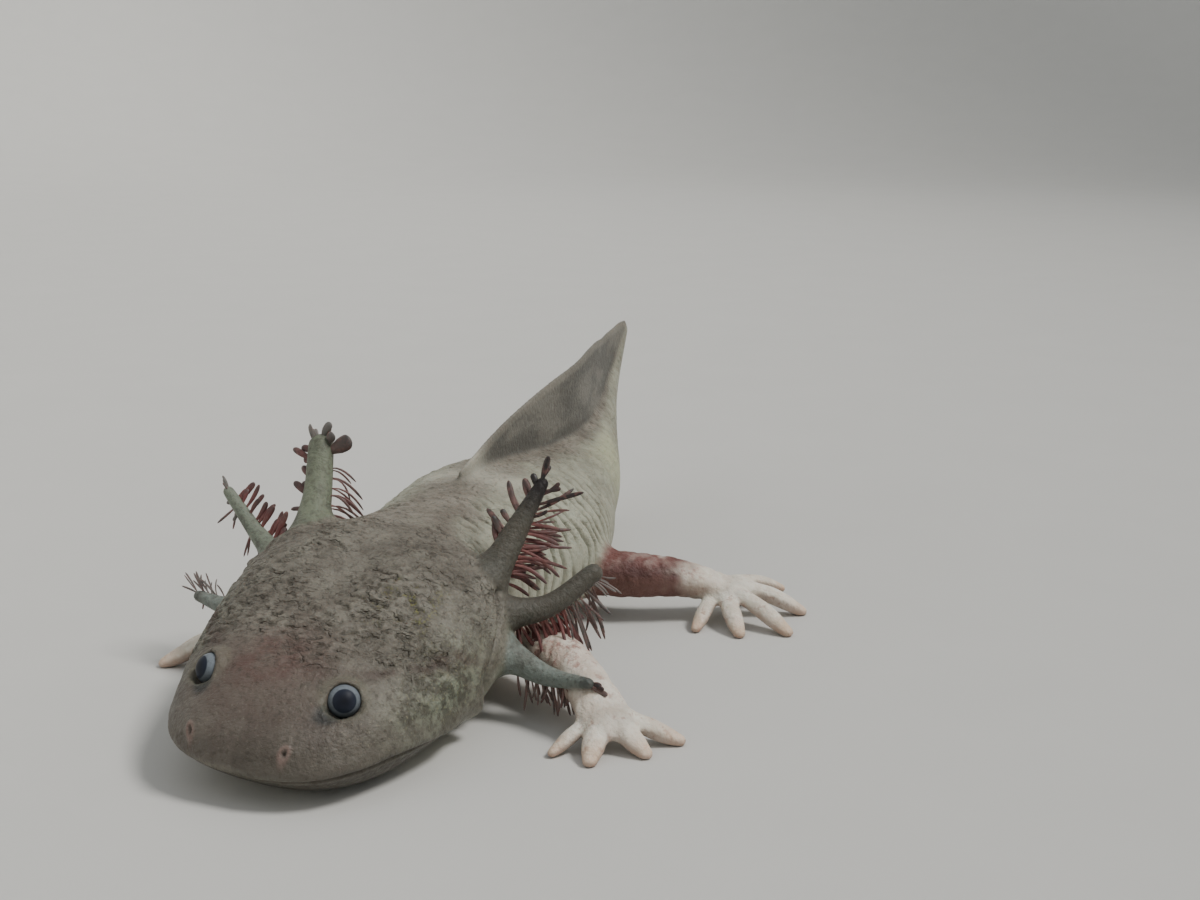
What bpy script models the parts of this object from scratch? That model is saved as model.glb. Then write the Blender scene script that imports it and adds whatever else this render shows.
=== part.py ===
"""An axolotl lying at rest on the floor, life size, as a set of closed solids.

The animal faces -Y with its left side towards +X, and its belly, chin and soles lie
on z = 0. All lengths below are in millimetres and become metres in the meshes.
"""

import math

import bmesh
import bpy
import numpy as np
from mathutils import Matrix, Vector

MM = 0.001
GAP = 0.3                     # clearance between neighbouring solids
WELD = 1e-7                   # merge distance after a Boolean, in metres
UP = Vector((0.0, 0.0, 1.0))

# ---------------------------------------------------------------- driving dimensions

# The spine seen from above: the head is turned a little to the animal's right, and the
# tail swings back the same way.
SPINE_PLAN = (
    (-1.5, -6.0),             # snout
    (0.8, 13.6),              # eyes
    (2.0, 33.2),              # cheeks
    (2.6, 48.0),              # gills
    (4.0, 63.0),              # shoulders
    (4.8, 84.0),              # middle of the trunk
    (5.6, 106.0),             # hips
    (8.0, 131.0),             # vent
    (9.0, 146.0),             # root of the tail
    (7.0, 166.0),
    (3.8, 186.0),             # middle of the tail
    (0.4, 206.0),
    (-1.4, 230.0),            # just past the tip of the tail
)

# Cross-sections: distance along the spine, half width, the heights above the floor of the
# back, of the widest level and of the underside, and how boxy the back is (2 is round).
STATIONS = (
    (0.0, 4.8, 9.4, 7.2, 5.6, 2.3),           # snout
    (1.2, 9.4, 11.4, 7.2, 4.2, 2.3),
    (3.5, 13.7, 13.3, 7.2, 2.8, 2.3),         # nostrils
    (7.5, 17.3, 15.8, 7.6, 1.4, 2.3),
    (13.6, 20.4, 18.8, 8.4, 0.4, 2.4),        # eyes
    (24.0, 23.6, 23.2, 10.2, 0.0, 2.4),       # corners of the mouth
    (38.0, 25.7, 28.4, 13.4, 0.4, 2.4),       # cheeks
    (48.0, 25.4, 31.4, 16.0, 0.8, 2.4),
    (55.0, 23.4, 32.0, 16.2, 0.8, 2.4),       # gills
    (63.0, 20.2, 31.6, 15.2, 0.6, 2.35),      # neck
    (72.0, 19.4, 31.6, 14.6, 0.0, 2.25),      # shoulders
    (88.0, 21.4, 32.4, 14.2, -0.6, 2.15),
    (102.0, 23.4, 32.6, 14.0, -0.8, 2.1),     # belly
    (116.0, 22.4, 31.4, 14.2, -0.4, 2.1),     # hips
    (128.0, 19.2, 30.0, 14.6, 1.0, 2.1),
    (140.0, 14.8, 29.4, 15.4, 3.6, 2.1),      # vent
    (155.0, 10.6, 29.4, 17.2, 7.0, 2.1),      # root of the tail
    (174.0, 7.0, 29.8, 19.2, 10.0, 2.1),
    (194.0, 4.4, 31.2, 22.4, 14.4, 2.1),      # middle of the tail
    (214.0, 2.6, 34.4, 28.6, 23.0, 2.1),
    (227.0, 1.6, 38.4, 35.8, 33.2, 2.1),
    (236.0, 0.8, 42.0, 40.8, 39.6, 2.1),      # tip of the tail
)
BELLY_ROUNDNESS = 2.4
BODY_SIDES = 20
HEAD_LEAN = 0.07              # the head leans a little to its left, as a slope
LEAN_FADES = (44.0, 84.0)     # where along the spine the lean dies away
BODY_STEP = 6.0               # spacing of the rings along the spine

# Where the body is parted, as distances along the spine.
BODY_PARTS = (
    ("head", 0.0, 46.0),
    ("neck", 46.0, 66.0),
    ("trunk_front", 66.0, 90.0),
    ("trunk_rear", 90.0, 112.0),
    ("pelvis", 112.0, 140.0),
    ("tail_base", 140.0, 172.0),
    ("tail_middle", 172.0, 204.0),
    ("tail_end", 204.0, 236.0),
)

# The mouth line, from under the snout to its corner: distance along the head and height.
MOUTH_LINE = ((0.0, 5.0), (10.5, 6.8), (27.0, 6.6))
JAW_END = 31.0
JAW_END_DROP = 0.6            # how far the cut has sunk from the corner to the jaw's end
JAW_CLEAR = 12.0              # how far the jaw's cutting block reaches past the snout
JAW_REACH = 40.0              # and to each side
FLOOR_DEPTH = 20.0            # depth of the block that cuts soles flat
FLOOR_REACH = 300.0

EYE_ALONG = 12.9
EYE_ANGLE = math.radians(53.5)   # round the section, from the side up
EYE_RADIUS = 2.75
EYE_SINK = 1.2                # depth of the eye's centre under the skin
EYE_PROBE = 0.05              # step round the section that gives the skin's slope
EYE_MESH = (14, 8)            # segments and rings
SOCKET_MESH = (16, 10)

# The fins stand on the midline: distance along the spine, height of the edge, half
# thickness at the root. The upper fin follows the back, the lower one the underside.
UPPER_FIN = (
    (87.0, 34.6, 0.9),
    (100.0, 37.4, 1.1),
    (116.0, 40.4, 1.2),
    (132.0, 43.2, 1.2),
    (155.0, 45.6, 1.1),
    (180.0, 45.8, 1.0),
    (204.0, 43.8, 0.9),
    (222.0, 43.4, 0.8),
    (230.0, 43.6, 0.7),
    (236.0, 43.2, 0.5),
)
LOWER_FIN = (
    (142.0, 3.2, 0.8),
    (155.0, 3.6, 1.0),
    (180.0, 5.4, 1.0),
    (204.0, 13.0, 0.9),
    (222.0, 25.4, 0.8),
    (230.0, 32.6, 0.7),
    (236.0, 38.4, 0.5),
)
FIN_EDGE = 0.35               # half thickness along the free edge
FIN_SEAT = 0.9                # widest share of the body's half width a fin stands on
FIN_PARTS = (
    ("dorsal_fin", UPPER_FIN, 1, 87.0, 140.0),
    ("tail_fin_upper", UPPER_FIN, 1, 140.0, 236.0),
    ("tail_fin_lower", LOWER_FIN, -1, 142.0, 236.0),
)

# Limbs: centre line x, y, z, half width and half height of the oval section, from inside
# the trunk to the wrist or ankle.
FORE_LEFT = (
    (12.0, 62.0, 10.0, 6.0, 6.0),
    (25.0, 56.0, 9.6, 5.4, 5.4),
    (35.5, 49.0, 9.0, 4.8, 4.8),         # elbow
    (41.6, 43.0, 7.8, 4.3, 4.2),
    (46.0, 37.4, 6.2, 4.5, 3.4),         # wrist
)
FORE_RIGHT = (
    (-1.0, 62.0, 10.0, 6.0, 6.0),
    (-12.0, 62.0, 9.6, 5.4, 5.4),
    (-21.0, 60.0, 9.0, 4.8, 4.8),
    (-27.0, 57.2, 7.8, 4.3, 4.2),
    (-31.6, 54.6, 6.2, 4.5, 3.4),
)
HIND_LEFT = (
    (13.0, 106.0, 9.4, 7.0, 6.6),
    (24.0, 102.6, 9.2, 6.0, 5.2),
    (35.0, 101.5, 9.2, 5.4, 4.8),        # knee
    (43.0, 103.6, 8.8, 4.8, 4.2),
    (49.0, 106.0, 7.4, 4.6, 3.4),        # ankle
)
HIND_RIGHT = (
    (0.0, 106.0, 9.4, 7.0, 6.6),
    (-12.0, 103.0, 9.2, 6.0, 5.2),
    (-23.0, 104.0, 9.2, 5.4, 4.8),
    (-30.5, 107.6, 8.8, 4.8, 4.2),
    (-35.6, 111.8, 7.4, 4.6, 3.4),
)
# Digits: direction in the plan from the limb's own heading, positive to the animal's
# left, length from the middle of the palm, and half width at the root.
HAND_DIGITS_LEFT = ((-74, 10.8, 1.5), (-34, 10.4, 2.1), (24, 10.0, 2.1), (62, 13.2, 2.0))
HAND_DIGITS_RIGHT = ((84, 9.6, 1.5), (42, 9.6, 2.0), (0, 12.5, 2.0), (-42, 11.5, 1.9))
FOOT_DIGITS_LEFT = (
    (-123, 12.4, 1.7), (-84, 14.6, 2.0), (-52, 18.6, 2.1), (-6, 17.4, 2.1), (26, 16.4, 1.7),
)
FOOT_DIGITS_RIGHT = (
    (80, 11.0, 1.6), (44, 12.0, 1.9), (10, 15.5, 2.0), (-20, 17.0, 2.0), (-46, 15.0, 1.6),
)
# Share of a digit's length, its width as a share of the root's, and its height.
DIGIT_SHAPE = ((0.0, 1.0, 5.0), (0.45, 1.0, 3.9), (0.8, 0.85, 1.8), (1.0, 0.6, 0.6))
DIGIT_FLATNESS = 0.85         # height of a digit as a share of its width
PALM_LENGTHS = {"hand": 5.2, "foot": 8.4}
PALM_HALF_HEIGHT = 2.6
# Share of a palm's length, width as a share of the wrist's, height of its middle, and
# half height as a share of the palm's.
PALM_SHAPE = ((0.5, 1.06, 5.4, 1.0), (1.0, 0.9, 4.4, 0.75))
LIMB_SIDES = 12
DIGIT_SIDES = 6
TIP_ANGLES = (40.0, 75.0)     # where rings lie on the round end of a tube, in degrees

# Gills, three on each side. The base is a distance along the spine, a distance out and a
# height; the bend and the tip are offsets from it (out, back, up); then half widths.
GILL_BASES = {
    ("upper", "left"): (53.5, 20.4, 24.6),
    ("middle", "left"): (52.0, 22.4, 19.4),
    ("lower", "left"): (49.5, 23.4, 14.2),
    ("upper", "right"): (53.5, 16.4, 25.4),
    ("middle", "right"): (52.0, 19.8, 21.2),
    ("lower", "right"): (49.5, 21.6, 15.4),
}
GILL_WAYS = {
    ("upper", "left"): ((2.6, 7.0, 8.6), (5.4, 12.0, 16.2)),
    ("middle", "left"): ((7.4, 5.0, 0.8), (14.0, 12.0, 6.0)),
    ("lower", "left"): ((10.0, -1.0, -3.5), (20.0, -4.7, -2.3)),
    ("upper", "right"): ((2.4, 8.0, 8.0), (5.0, 14.0, 16.0)),
    ("middle", "right"): ((8.0, 4.0, 3.5), (18.5, 8.5, 11.0)),
    ("lower", "right"): ((9.5, 1.0, -3.0), (19.0, 3.0, -2.5)),
}
GILL_RADII = {
    ("upper", "left"): (3.4, 2.6, 1.1),
    ("middle", "left"): (3.2, 2.2, 1.7),
    ("lower", "left"): (3.2, 1.9, 1.0),
    ("upper", "right"): (4.0, 2.8, 2.0),
    ("middle", "right"): (3.2, 1.9, 1.1),
    ("lower", "right"): (3.0, 2.0, 1.1),
}
# The fringe of each gill: length of its filaments, and how far they lean back and down.
GILL_FRINGES = {
    "upper": (8.0, 1.0, 0.5),
    "middle": (8.0, 0.8, 0.9),
    "lower": (1.6, 0.8, 0.3),
}
GILL_SIDES = 8
FILAMENTS_PER_ROW = 6
FILAMENTS_START = 0.34        # share of the stalk below the first filament
FILAMENT_ROOT = 0.5           # half widths
FILAMENT_TIP = 0.36
FILAMENT_SIDES = 4
FILAMENT_DROOP = ((0.0, 0.0), (0.5, 0.06), (1.0, 0.24))  # share of length, share sunk
ROW_SPREAD = 0.45             # how far the two rows of filaments lean apart
ROW_LEAN = 0.35               # how far filaments lean towards the tip of their stalk
STEEP = 0.8                   # above this slope a filament's section hangs on the stalk

COLOURS = {
    "back": (0.21, 0.18, 0.155),
    "flank": (0.40, 0.39, 0.31),
    "jaw": (0.46, 0.45, 0.36),
    "fin": (0.24, 0.22, 0.19),
    "limb": (0.50, 0.33, 0.28),
    "digits": (0.72, 0.62, 0.52),
    "gill": (0.25, 0.10, 0.10),
    "eye": (0.02, 0.02, 0.03),
}


# ------------------------------------------------------------------------ the curves

class Track:
    """A smooth curve through rows of (key, value, value, ...)."""

    def __init__(self, rows):
        self.keys = np.array([row[0] for row in rows], dtype=float)
        self.values = np.array([row[1:] for row in rows], dtype=float)
        steps = np.diff(self.keys)[:, None]
        slopes = np.diff(self.values, axis=0) / steps
        inner = (slopes[:-1] * steps[1:] + slopes[1:] * steps[:-1]) / (steps[1:] + steps[:-1])
        self.tangents = np.vstack((slopes[:1], inner, slopes[-1:]))

    def at(self, key):
        """The values at a key, by cubic Hermite interpolation."""
        key = min(max(key, self.keys[0]), self.keys[-1])
        i = int(np.searchsorted(self.keys, key, side="right")) - 1
        i = min(max(i, 0), len(self.keys) - 2)
        step = self.keys[i + 1] - self.keys[i]
        t = (key - self.keys[i]) / step
        bend = t * t * (3.0 - 2.0 * t)
        start = self.values[i] * (1.0 - bend) + self.values[i + 1] * bend
        swing = t * (1.0 - t) ** 2 * self.tangents[i] - t * t * (1.0 - t) * self.tangents[i + 1]
        return start + step * swing


def path_track(points):
    """A Track through points, keyed by the length of the path in its first columns."""
    points = np.array(points, dtype=float)
    places = points[:, :3] if points.shape[1] > 2 else points
    hops = np.linalg.norm(np.diff(places, axis=0), axis=1)
    along = np.concatenate(((0.0,), np.cumsum(hops)))
    return Track(np.column_stack((along, points)))


SPINE = path_track(SPINE_PLAN)
SECTIONS = Track(STATIONS)


def spine_frame(along):
    """Centre on the floor, the animal's left and its backward direction."""
    x, y = SPINE.at(along)
    before = SPINE.at(along - 1.0)
    after = SPINE.at(along + 1.0)
    back = Vector((after[0] - before[0], after[1] - before[1], 0.0)).normalized()
    left = Vector((back.y, -back.x, 0.0))
    return Vector((x, y, 0.0)), left, back


def lean_at(along):
    """The slope of the section at a distance along the spine, down to the left."""
    start, end = LEAN_FADES
    fade = min(max((end - along) / (end - start), 0.0), 1.0)
    return HEAD_LEAN * fade * fade * (3.0 - 2.0 * fade)


def body_place(along, out, height):
    """A point given by distance along the spine, distance to the left and height."""
    centre, left, back = spine_frame(along)
    return centre + left * out + UP * (height - lean_at(along) * out)


def superellipse(angle, roundness):
    """Signed cosine and sine, squared off towards a rounded box."""
    power = 2.0 / roundness
    across = math.copysign(abs(math.cos(angle)) ** power, math.cos(angle))
    upward = math.copysign(abs(math.sin(angle)) ** power, math.sin(angle))
    return across, upward


def body_point(along, angle, grow=0.0):
    """A point of the skin, at an angle round the section from the left side up."""
    half, top, level, bottom, back_roundness = SECTIONS.at(along)
    upper = math.sin(angle) >= 0.0
    across, upward = superellipse(angle, back_roundness if upper else BELLY_ROUNDNESS)
    rise = (top - level if upper else level - bottom) + grow
    place = body_place(along, (half + grow) * across, level + rise * upward)
    place.z = max(place.z, -grow)
    return place


def body_ring(along, grow=0.0):
    turn = 2.0 * math.pi / BODY_SIDES
    return [body_point(along, turn * i, grow) for i in range(BODY_SIDES)]


def body_stops(start, end, step):
    """Distances of the rings from start to end, closer together on the snout."""
    fine = (0.0, 0.5, 1.2, 2.2, 3.5, 5.2, 7.5, 10.5)
    count = max(int(round((end - start) / step)), 1)
    stops = [start + (end - start) * i / count for i in range(count + 1)]
    if start > fine[0]:
        return stops
    return list(fine) + [stop for stop in stops if stop > fine[-1] + step / 2.0]


# ----------------------------------------------------------------------- mesh making

def loft_mesh(name, rings):
    """A closed mesh through rings of equal size, with a flat cap at each end."""
    bm = bmesh.new()
    loops = [[bm.verts.new(point * MM) for point in ring] for ring in rings]
    for first, second in zip(loops, loops[1:]):
        for i in range(len(first)):
            j = (i + 1) % len(first)
            bm.faces.new((first[i], first[j], second[j], second[i]))
    bm.faces.new(list(reversed(loops[0])))
    bm.faces.new(loops[-1])
    bmesh.ops.remove_doubles(bm, verts=bm.verts, dist=WELD)
    bmesh.ops.dissolve_degenerate(bm, edges=bm.edges, dist=WELD)
    bmesh.ops.recalc_face_normals(bm, faces=bm.faces)
    mesh = bpy.data.meshes.new(name)
    bm.to_mesh(mesh)
    bm.free()
    return mesh


def forward_at(track, place):
    """The direction of a track of points at a place on it."""
    return (Vector(track.at(place + 0.5)[:3]) - Vector(track.at(place - 0.5)[:3])).normalized()


def tube_rings(track, start, end, stops, sides, square_to, round_tip=False):
    """Oval rings along a track of x, y, z, half width, half height."""
    places = [start + (end - start) * i / stops for i in range(stops + 1)]
    shrink = [1.0] * len(places)
    if round_tip:
        tip = track.at(end)[3]
        for angle in TIP_ANGLES:
            places.append(end + tip * math.sin(math.radians(angle)))
            shrink.append(math.cos(math.radians(angle)))
    rings = []
    turn = 2.0 * math.pi / sides
    for place, scale in zip(places, shrink):
        inside = min(place, end)
        x, y, z, wide, high = track.at(inside)
        forward = forward_at(track, inside)
        side = forward.cross(square_to).normalized()
        upward = side.cross(forward)
        centre = Vector((x, y, z)) + forward * (place - inside)
        rings.append([
            centre + side * (wide * scale * math.cos(turn * i))
            + upward * (high * scale * math.sin(turn * i))
            for i in range(sides)
        ])
    return rings


def block_mesh(name, low, high):
    """A box between two corners."""
    bm = bmesh.new()
    bmesh.ops.create_cube(bm, size=1.0)
    size = Vector(high) - Vector(low)
    middle = (Vector(high) + Vector(low)) / 2.0
    for vert in bm.verts:
        place = Vector((vert.co.x * size.x, vert.co.y * size.y, vert.co.z * size.z))
        vert.co = (place + middle) * MM
    mesh = bpy.data.meshes.new(name)
    bm.to_mesh(mesh)
    bm.free()
    return mesh


def sphere_mesh(name, centre, radius, fineness):
    segments, rings = fineness
    bm = bmesh.new()
    bmesh.ops.create_uvsphere(bm, u_segments=segments, v_segments=rings, radius=radius * MM)
    bmesh.ops.translate(bm, verts=bm.verts, vec=centre * MM)
    mesh = bpy.data.meshes.new(name)
    bm.to_mesh(mesh)
    bm.free()
    return mesh


def keep_main_body(bm):
    """Drop everything that isn't joined to the largest island of faces."""
    unseen = set(bm.faces)
    islands = []
    while unseen:
        island = set()
        queue = [unseen.pop()]
        while queue:
            face = queue.pop()
            island.add(face)
            near = {other for edge in face.edges for other in edge.link_faces}
            queue.extend(near & unseen)
            unseen -= near
        islands.append(island)
    main = max(islands, key=lambda island: sum(face.calc_area() for face in island))
    rest = [face for face in bm.faces if face not in main]
    if rest:
        bmesh.ops.delete(bm, geom=rest, context="FACES")


def boolean(mesh, operation, *tools):
    """The mesh united with, cut by or limited to each tool in turn."""
    target = bpy.data.objects.new("target", mesh)
    bpy.context.scene.collection.objects.link(target)
    helpers = []
    for tool in tools:
        helper = bpy.data.objects.new("tool", tool)
        bpy.context.scene.collection.objects.link(helper)
        helpers.append(helper)
        modifier = target.modifiers.new("boolean", "BOOLEAN")
        modifier.operation = operation
        modifier.solver = "EXACT"
        modifier.object = helper
    evaluated = target.evaluated_get(bpy.context.evaluated_depsgraph_get())
    result = bpy.data.meshes.new_from_object(evaluated)
    for item in [target] + helpers:
        bpy.data.objects.remove(item)
    bm = bmesh.new()
    bm.from_mesh(result)
    bmesh.ops.remove_doubles(bm, verts=bm.verts, dist=WELD)
    bmesh.ops.dissolve_degenerate(bm, edges=bm.edges, dist=WELD)
    keep_main_body(bm)
    bmesh.ops.triangulate(bm, faces=[face for face in bm.faces if len(face.verts) > 4])
    bm.to_mesh(result)
    bm.free()
    return result


# -------------------------------------------------------------------------- the scene

def clear_scene():
    for item in list(bpy.data.objects):
        bpy.data.objects.remove(item)


def material(colour, roughness):
    name = colour + "_skin"
    found = bpy.data.materials.get(name)
    if found:
        return found
    made = bpy.data.materials.new(name)
    made.use_nodes = True
    shader = made.node_tree.nodes["Principled BSDF"]
    shader.inputs["Base Color"].default_value = COLOURS[colour] + (1.0,)
    shader.inputs["Roughness"].default_value = roughness
    shader.inputs["Metallic"].default_value = 0.0
    made.diffuse_color = COLOURS[colour] + (1.0,)
    return made


class Animal:
    """The named solids, all under one empty that carries them."""

    def __init__(self):
        self.parts = bpy.data.collections.new("axolotl")
        bpy.context.scene.collection.children.link(self.parts)
        self.root = bpy.data.objects.new("axolotl_root", None)
        self.parts.objects.link(self.root)

    def add(self, name, mesh, anchor, colour, roughness=0.5):
        """Add a solid whose origin is the anchor, a point in millimetres."""
        mesh.name = name
        mesh.transform(Matrix.Translation(-anchor * MM))
        mesh.materials.clear()
        mesh.materials.append(material(colour, roughness))
        mesh.shade_smooth()
        mesh.set_sharp_from_angle(angle=math.radians(50.0))
        item = bpy.data.objects.new(name, mesh)
        item.location = anchor * MM
        item.parent = self.root
        self.parts.objects.link(item)
        return item

    def centre(self):
        """Move the whole animal so that its box stands centred on the origin."""
        bpy.context.view_layer.update()
        corners = [
            item.matrix_world @ vert.co
            for item in self.parts.objects if item.type == "MESH"
            for vert in item.data.vertices
        ]
        xs = [corner.x for corner in corners]
        ys = [corner.y for corner in corners]
        self.root.location.x -= (min(xs) + max(xs)) / 2.0
        self.root.location.y -= (min(ys) + max(ys)) / 2.0


# ---------------------------------------------------------------------- head and body

def body_part_mesh(name, start, end, grow=0.0):
    rings = [body_ring(stop, grow) for stop in body_stops(start, end, BODY_STEP)]
    return loft_mesh(name, rings)


def grown_body_mesh():
    """The whole body a gap's width larger, which cuts the roots of limbs and gills."""
    return body_part_mesh("grown_body", 0.0, BODY_PARTS[-1][2], GAP)


def jaw_block_mesh(margin):
    """A block whose top is the mouth line and whose back is the end of the jaw."""
    corner_along, corner_height = MOUTH_LINE[-1]
    front_height = MOUTH_LINE[0][1]
    profile = [(-JAW_CLEAR, -FLOOR_DEPTH), (-JAW_CLEAR, front_height + margin)]
    profile += [(along, height + margin) for along, height in MOUTH_LINE]
    profile += [
        (JAW_END + margin, corner_height - JAW_END_DROP + margin),
        (JAW_END + margin, -FLOOR_DEPTH),
    ]
    start = body_place(0.0, 0.0, 0.0)
    _, left, back = spine_frame(corner_along / 2.0)
    rings = [
        [
            start + left * out + back * along + UP * (height - HEAD_LEAN * out)
            for along, height in profile
        ]
        for out in (-JAW_REACH, JAW_REACH)
    ]
    return loft_mesh("jaw_block", rings)


def eye_centre(side):
    """The centre of an eye, a little under the skin along the skin's normal."""
    angle = EYE_ANGLE if side > 0 else math.pi - EYE_ANGLE
    here = body_point(EYE_ALONG, angle)
    ahead = body_point(EYE_ALONG + 1.0, angle) - body_point(EYE_ALONG - 1.0, angle)
    across = body_point(EYE_ALONG, angle + EYE_PROBE) - body_point(EYE_ALONG, angle - EYE_PROBE)
    normal = ahead.cross(across).normalized()
    if normal.z < 0.0:
        normal.negate()
    return here - normal * EYE_SINK


def build_head(animal):
    name, start, end = BODY_PARTS[0]
    whole = body_part_mesh(name, start, end - GAP / 2.0)
    jaw = boolean(whole.copy(), "INTERSECT", jaw_block_mesh(0.0))
    head = boolean(whole, "DIFFERENCE", jaw_block_mesh(GAP))
    sockets = [
        sphere_mesh("socket", eye_centre(side), EYE_RADIUS + GAP, SOCKET_MESH) for side in (1, -1)
    ]
    head = boolean(head, "DIFFERENCE", *sockets)
    animal.add("head", head, body_place(end, 0.0, SECTIONS.at(end)[2]), "back")
    animal.add("lower_jaw", jaw, body_place(JAW_END, 0.0, 0.0), "jaw")
    for label, side in (("left", 1), ("right", -1)):
        centre = eye_centre(side)
        eye = sphere_mesh("eye", centre, EYE_RADIUS, EYE_MESH)
        animal.add("eye_" + label, eye, centre, "eye", 0.1)


def build_body(animal):
    for name, start, end in BODY_PARTS[1:]:
        last = name == BODY_PARTS[-1][0]
        mesh = body_part_mesh(name, start + GAP / 2.0, end if last else end - GAP / 2.0)
        anchor = body_place(start, 0.0, SECTIONS.at(start)[2])
        animal.add(name, mesh, anchor, "flank" if name.startswith("trunk") else "back")


# ------------------------------------------------------------------------------- fins

def fin_ring(outline, direction, along):
    """An upright section of a fin, from the body's midline out to its edge."""
    height, root = outline.at(along)
    half, top, level, bottom, back_roundness = SECTIONS.at(along)
    roundness = back_roundness if direction > 0 else BELLY_ROUNDNESS
    rise = abs((top if direction > 0 else bottom) - level) + GAP
    share = min(root / half, FIN_SEAT)
    flank = level + direction * rise * (1.0 - share ** roundness) ** (1.0 / roundness)
    corners = ((root, flank), (FIN_EDGE, height), (-FIN_EDGE, height), (-root, flank))
    return [body_place(along, out, above) for out, above in corners]


def build_fins(animal):
    for name, rows, direction, start, end in FIN_PARTS:
        outline = Track(rows)
        count = int(round((end - start) / BODY_STEP))
        first = start + GAP / 2.0
        span = end - GAP / 2.0 - first
        stops = [first + span * i / count for i in range(count + 1)]
        mesh = loft_mesh(name, [fin_ring(outline, direction, stop) for stop in stops])
        animal.add(name, mesh, body_place(start, 0.0, outline.at(start)[0]), "fin")


# ------------------------------------------------------------------------------ limbs

def digit_mesh(palm, heading, angle, length, half):
    """A tapering digit that leaves the palm at an angle and ends round on the floor."""
    turned = heading + math.radians(angle)
    way = Vector((math.cos(turned), math.sin(turned), 0.0))
    rows = []
    for share, width, height in DIGIT_SHAPE:
        place = palm + way * (length * share)
        rows.append((place.x, place.y, height, half * width, half * width * DIGIT_FLATNESS))
    track = path_track(rows)
    rings = tube_rings(track, 0.0, track.keys[-1], 4, DIGIT_SIDES, UP, round_tip=True)
    return loft_mesh("digit", rings)


def grown_limb_mesh(rows):
    """A limb a gap's width larger, from the body to the wrist."""
    wider = [(x, y, z, wide + GAP, high + GAP) for x, y, z, wide, high in rows]
    track = path_track(wider)
    return loft_mesh("grown_limb", tube_rings(track, 0.0, track.keys[-1], 9, LIMB_SIDES, UP))


def foot_mesh(name, track, digits):
    """A hand or foot: a palm beyond the end of the limb's track, with its digits."""
    wrist = track.keys[-1]
    x, y, z, wide, high = track.at(wrist)
    end = Vector((x, y, z))
    forward = forward_at(track, wrist - 0.5)
    heading = math.atan2(forward.y, forward.x)
    forward = Vector((math.cos(heading), math.sin(heading), 0.0))
    length = PALM_LENGTHS[name]
    rows = [(x, y, z, wide, high)]
    for share, width, height, thickness in PALM_SHAPE:
        place = end + forward * (length * share)
        rows.append((place.x, place.y, height, wide * width, PALM_HALF_HEIGHT * thickness))
    palm = path_track(rows)
    rings = tube_rings(palm, GAP / 2.0, palm.keys[-1], 3, LIMB_SIDES, UP, round_tip=True)
    middle = end + forward * (length / 2.0)
    toes = [digit_mesh(middle, heading, *digit) for digit in digits]
    foot = boolean(loft_mesh(name, rings), "UNION", *toes)
    below = block_mesh(
        "floor", (-FLOOR_REACH, -FLOOR_REACH, -FLOOR_DEPTH), (FLOOR_REACH, FLOOR_REACH, 0.0),
    )
    return boolean(foot, "DIFFERENCE", below)


def build_limb(animal, label, names, rows, digits, grown_body):
    """A leg in three solids: the part next to the body, the next one, and the foot."""
    upper_name, lower_name, foot_name = names
    track = path_track(rows)
    bend = track.keys[2]
    wrist = track.keys[-1]
    rings = tube_rings(track, 0.0, bend - GAP / 2.0, 5, LIMB_SIDES, UP)
    upper = boolean(loft_mesh(upper_name, rings), "DIFFERENCE", grown_body.copy())
    rings = tube_rings(track, bend + GAP / 2.0, wrist - GAP / 2.0, 4, LIMB_SIDES, UP)
    lower = loft_mesh(lower_name, rings)
    foot = boolean(foot_mesh(foot_name, track, digits), "DIFFERENCE", grown_limb_mesh(rows))
    animal.add(upper_name + "_" + label, upper, Vector(rows[1][:3]), "limb")
    animal.add(lower_name + "_" + label, lower, Vector(rows[2][:3]), "limb")
    animal.add(foot_name + "_" + label, foot, Vector(rows[-1][:3]), "digits")


def build_limbs(animal, grown_body):
    fore = ("upper_arm", "forearm", "hand")
    hind = ("thigh", "shank", "foot")
    build_limb(animal, "left", fore, FORE_LEFT, HAND_DIGITS_LEFT, grown_body)
    build_limb(animal, "right", fore, FORE_RIGHT, HAND_DIGITS_RIGHT, grown_body)
    build_limb(animal, "left", hind, HIND_LEFT, FOOT_DIGITS_LEFT, grown_body)
    build_limb(animal, "right", hind, HIND_RIGHT, FOOT_DIGITS_RIGHT, grown_body)


# ------------------------------------------------------------------------------ gills

def gill_track(name, label, side):
    """The centre line of a gill stalk, with its half width."""
    along, out, height = GILL_BASES[name, label]
    root = body_place(along, side * out, height)
    _, left, back = spine_frame(0.0)
    first, *others = GILL_RADII[name, label]
    rows = [(*root, first, first)]
    for offset, radius in zip(GILL_WAYS[name, label], others):
        place = root + left * (side * offset[0]) + back * offset[1] + UP * offset[2]
        rows.append((*place, radius, radius))
    return path_track(rows)


def filament_mesh(track, along, aside, length):
    """A fine tapering filament that leaves the stalk on one side and droops."""
    x, y, z, half, _ = track.at(along)
    forward = forward_at(track, along)
    way = (aside + forward * ROW_LEAN).normalized()
    rows = []
    for share, droop in FILAMENT_DROOP:
        place = Vector((x, y, z)) + way * ((half + length) * share) - UP * (length * droop)
        radius = FILAMENT_ROOT + (FILAMENT_TIP - FILAMENT_ROOT) * share
        rows.append((*place, radius, radius))
    filament = path_track(rows)
    square_to = forward if abs(way.dot(UP)) > STEEP else UP
    rings = tube_rings(filament, 0.0, filament.keys[-1], 2, FILAMENT_SIDES, square_to)
    return loft_mesh("filament", rings)


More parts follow.
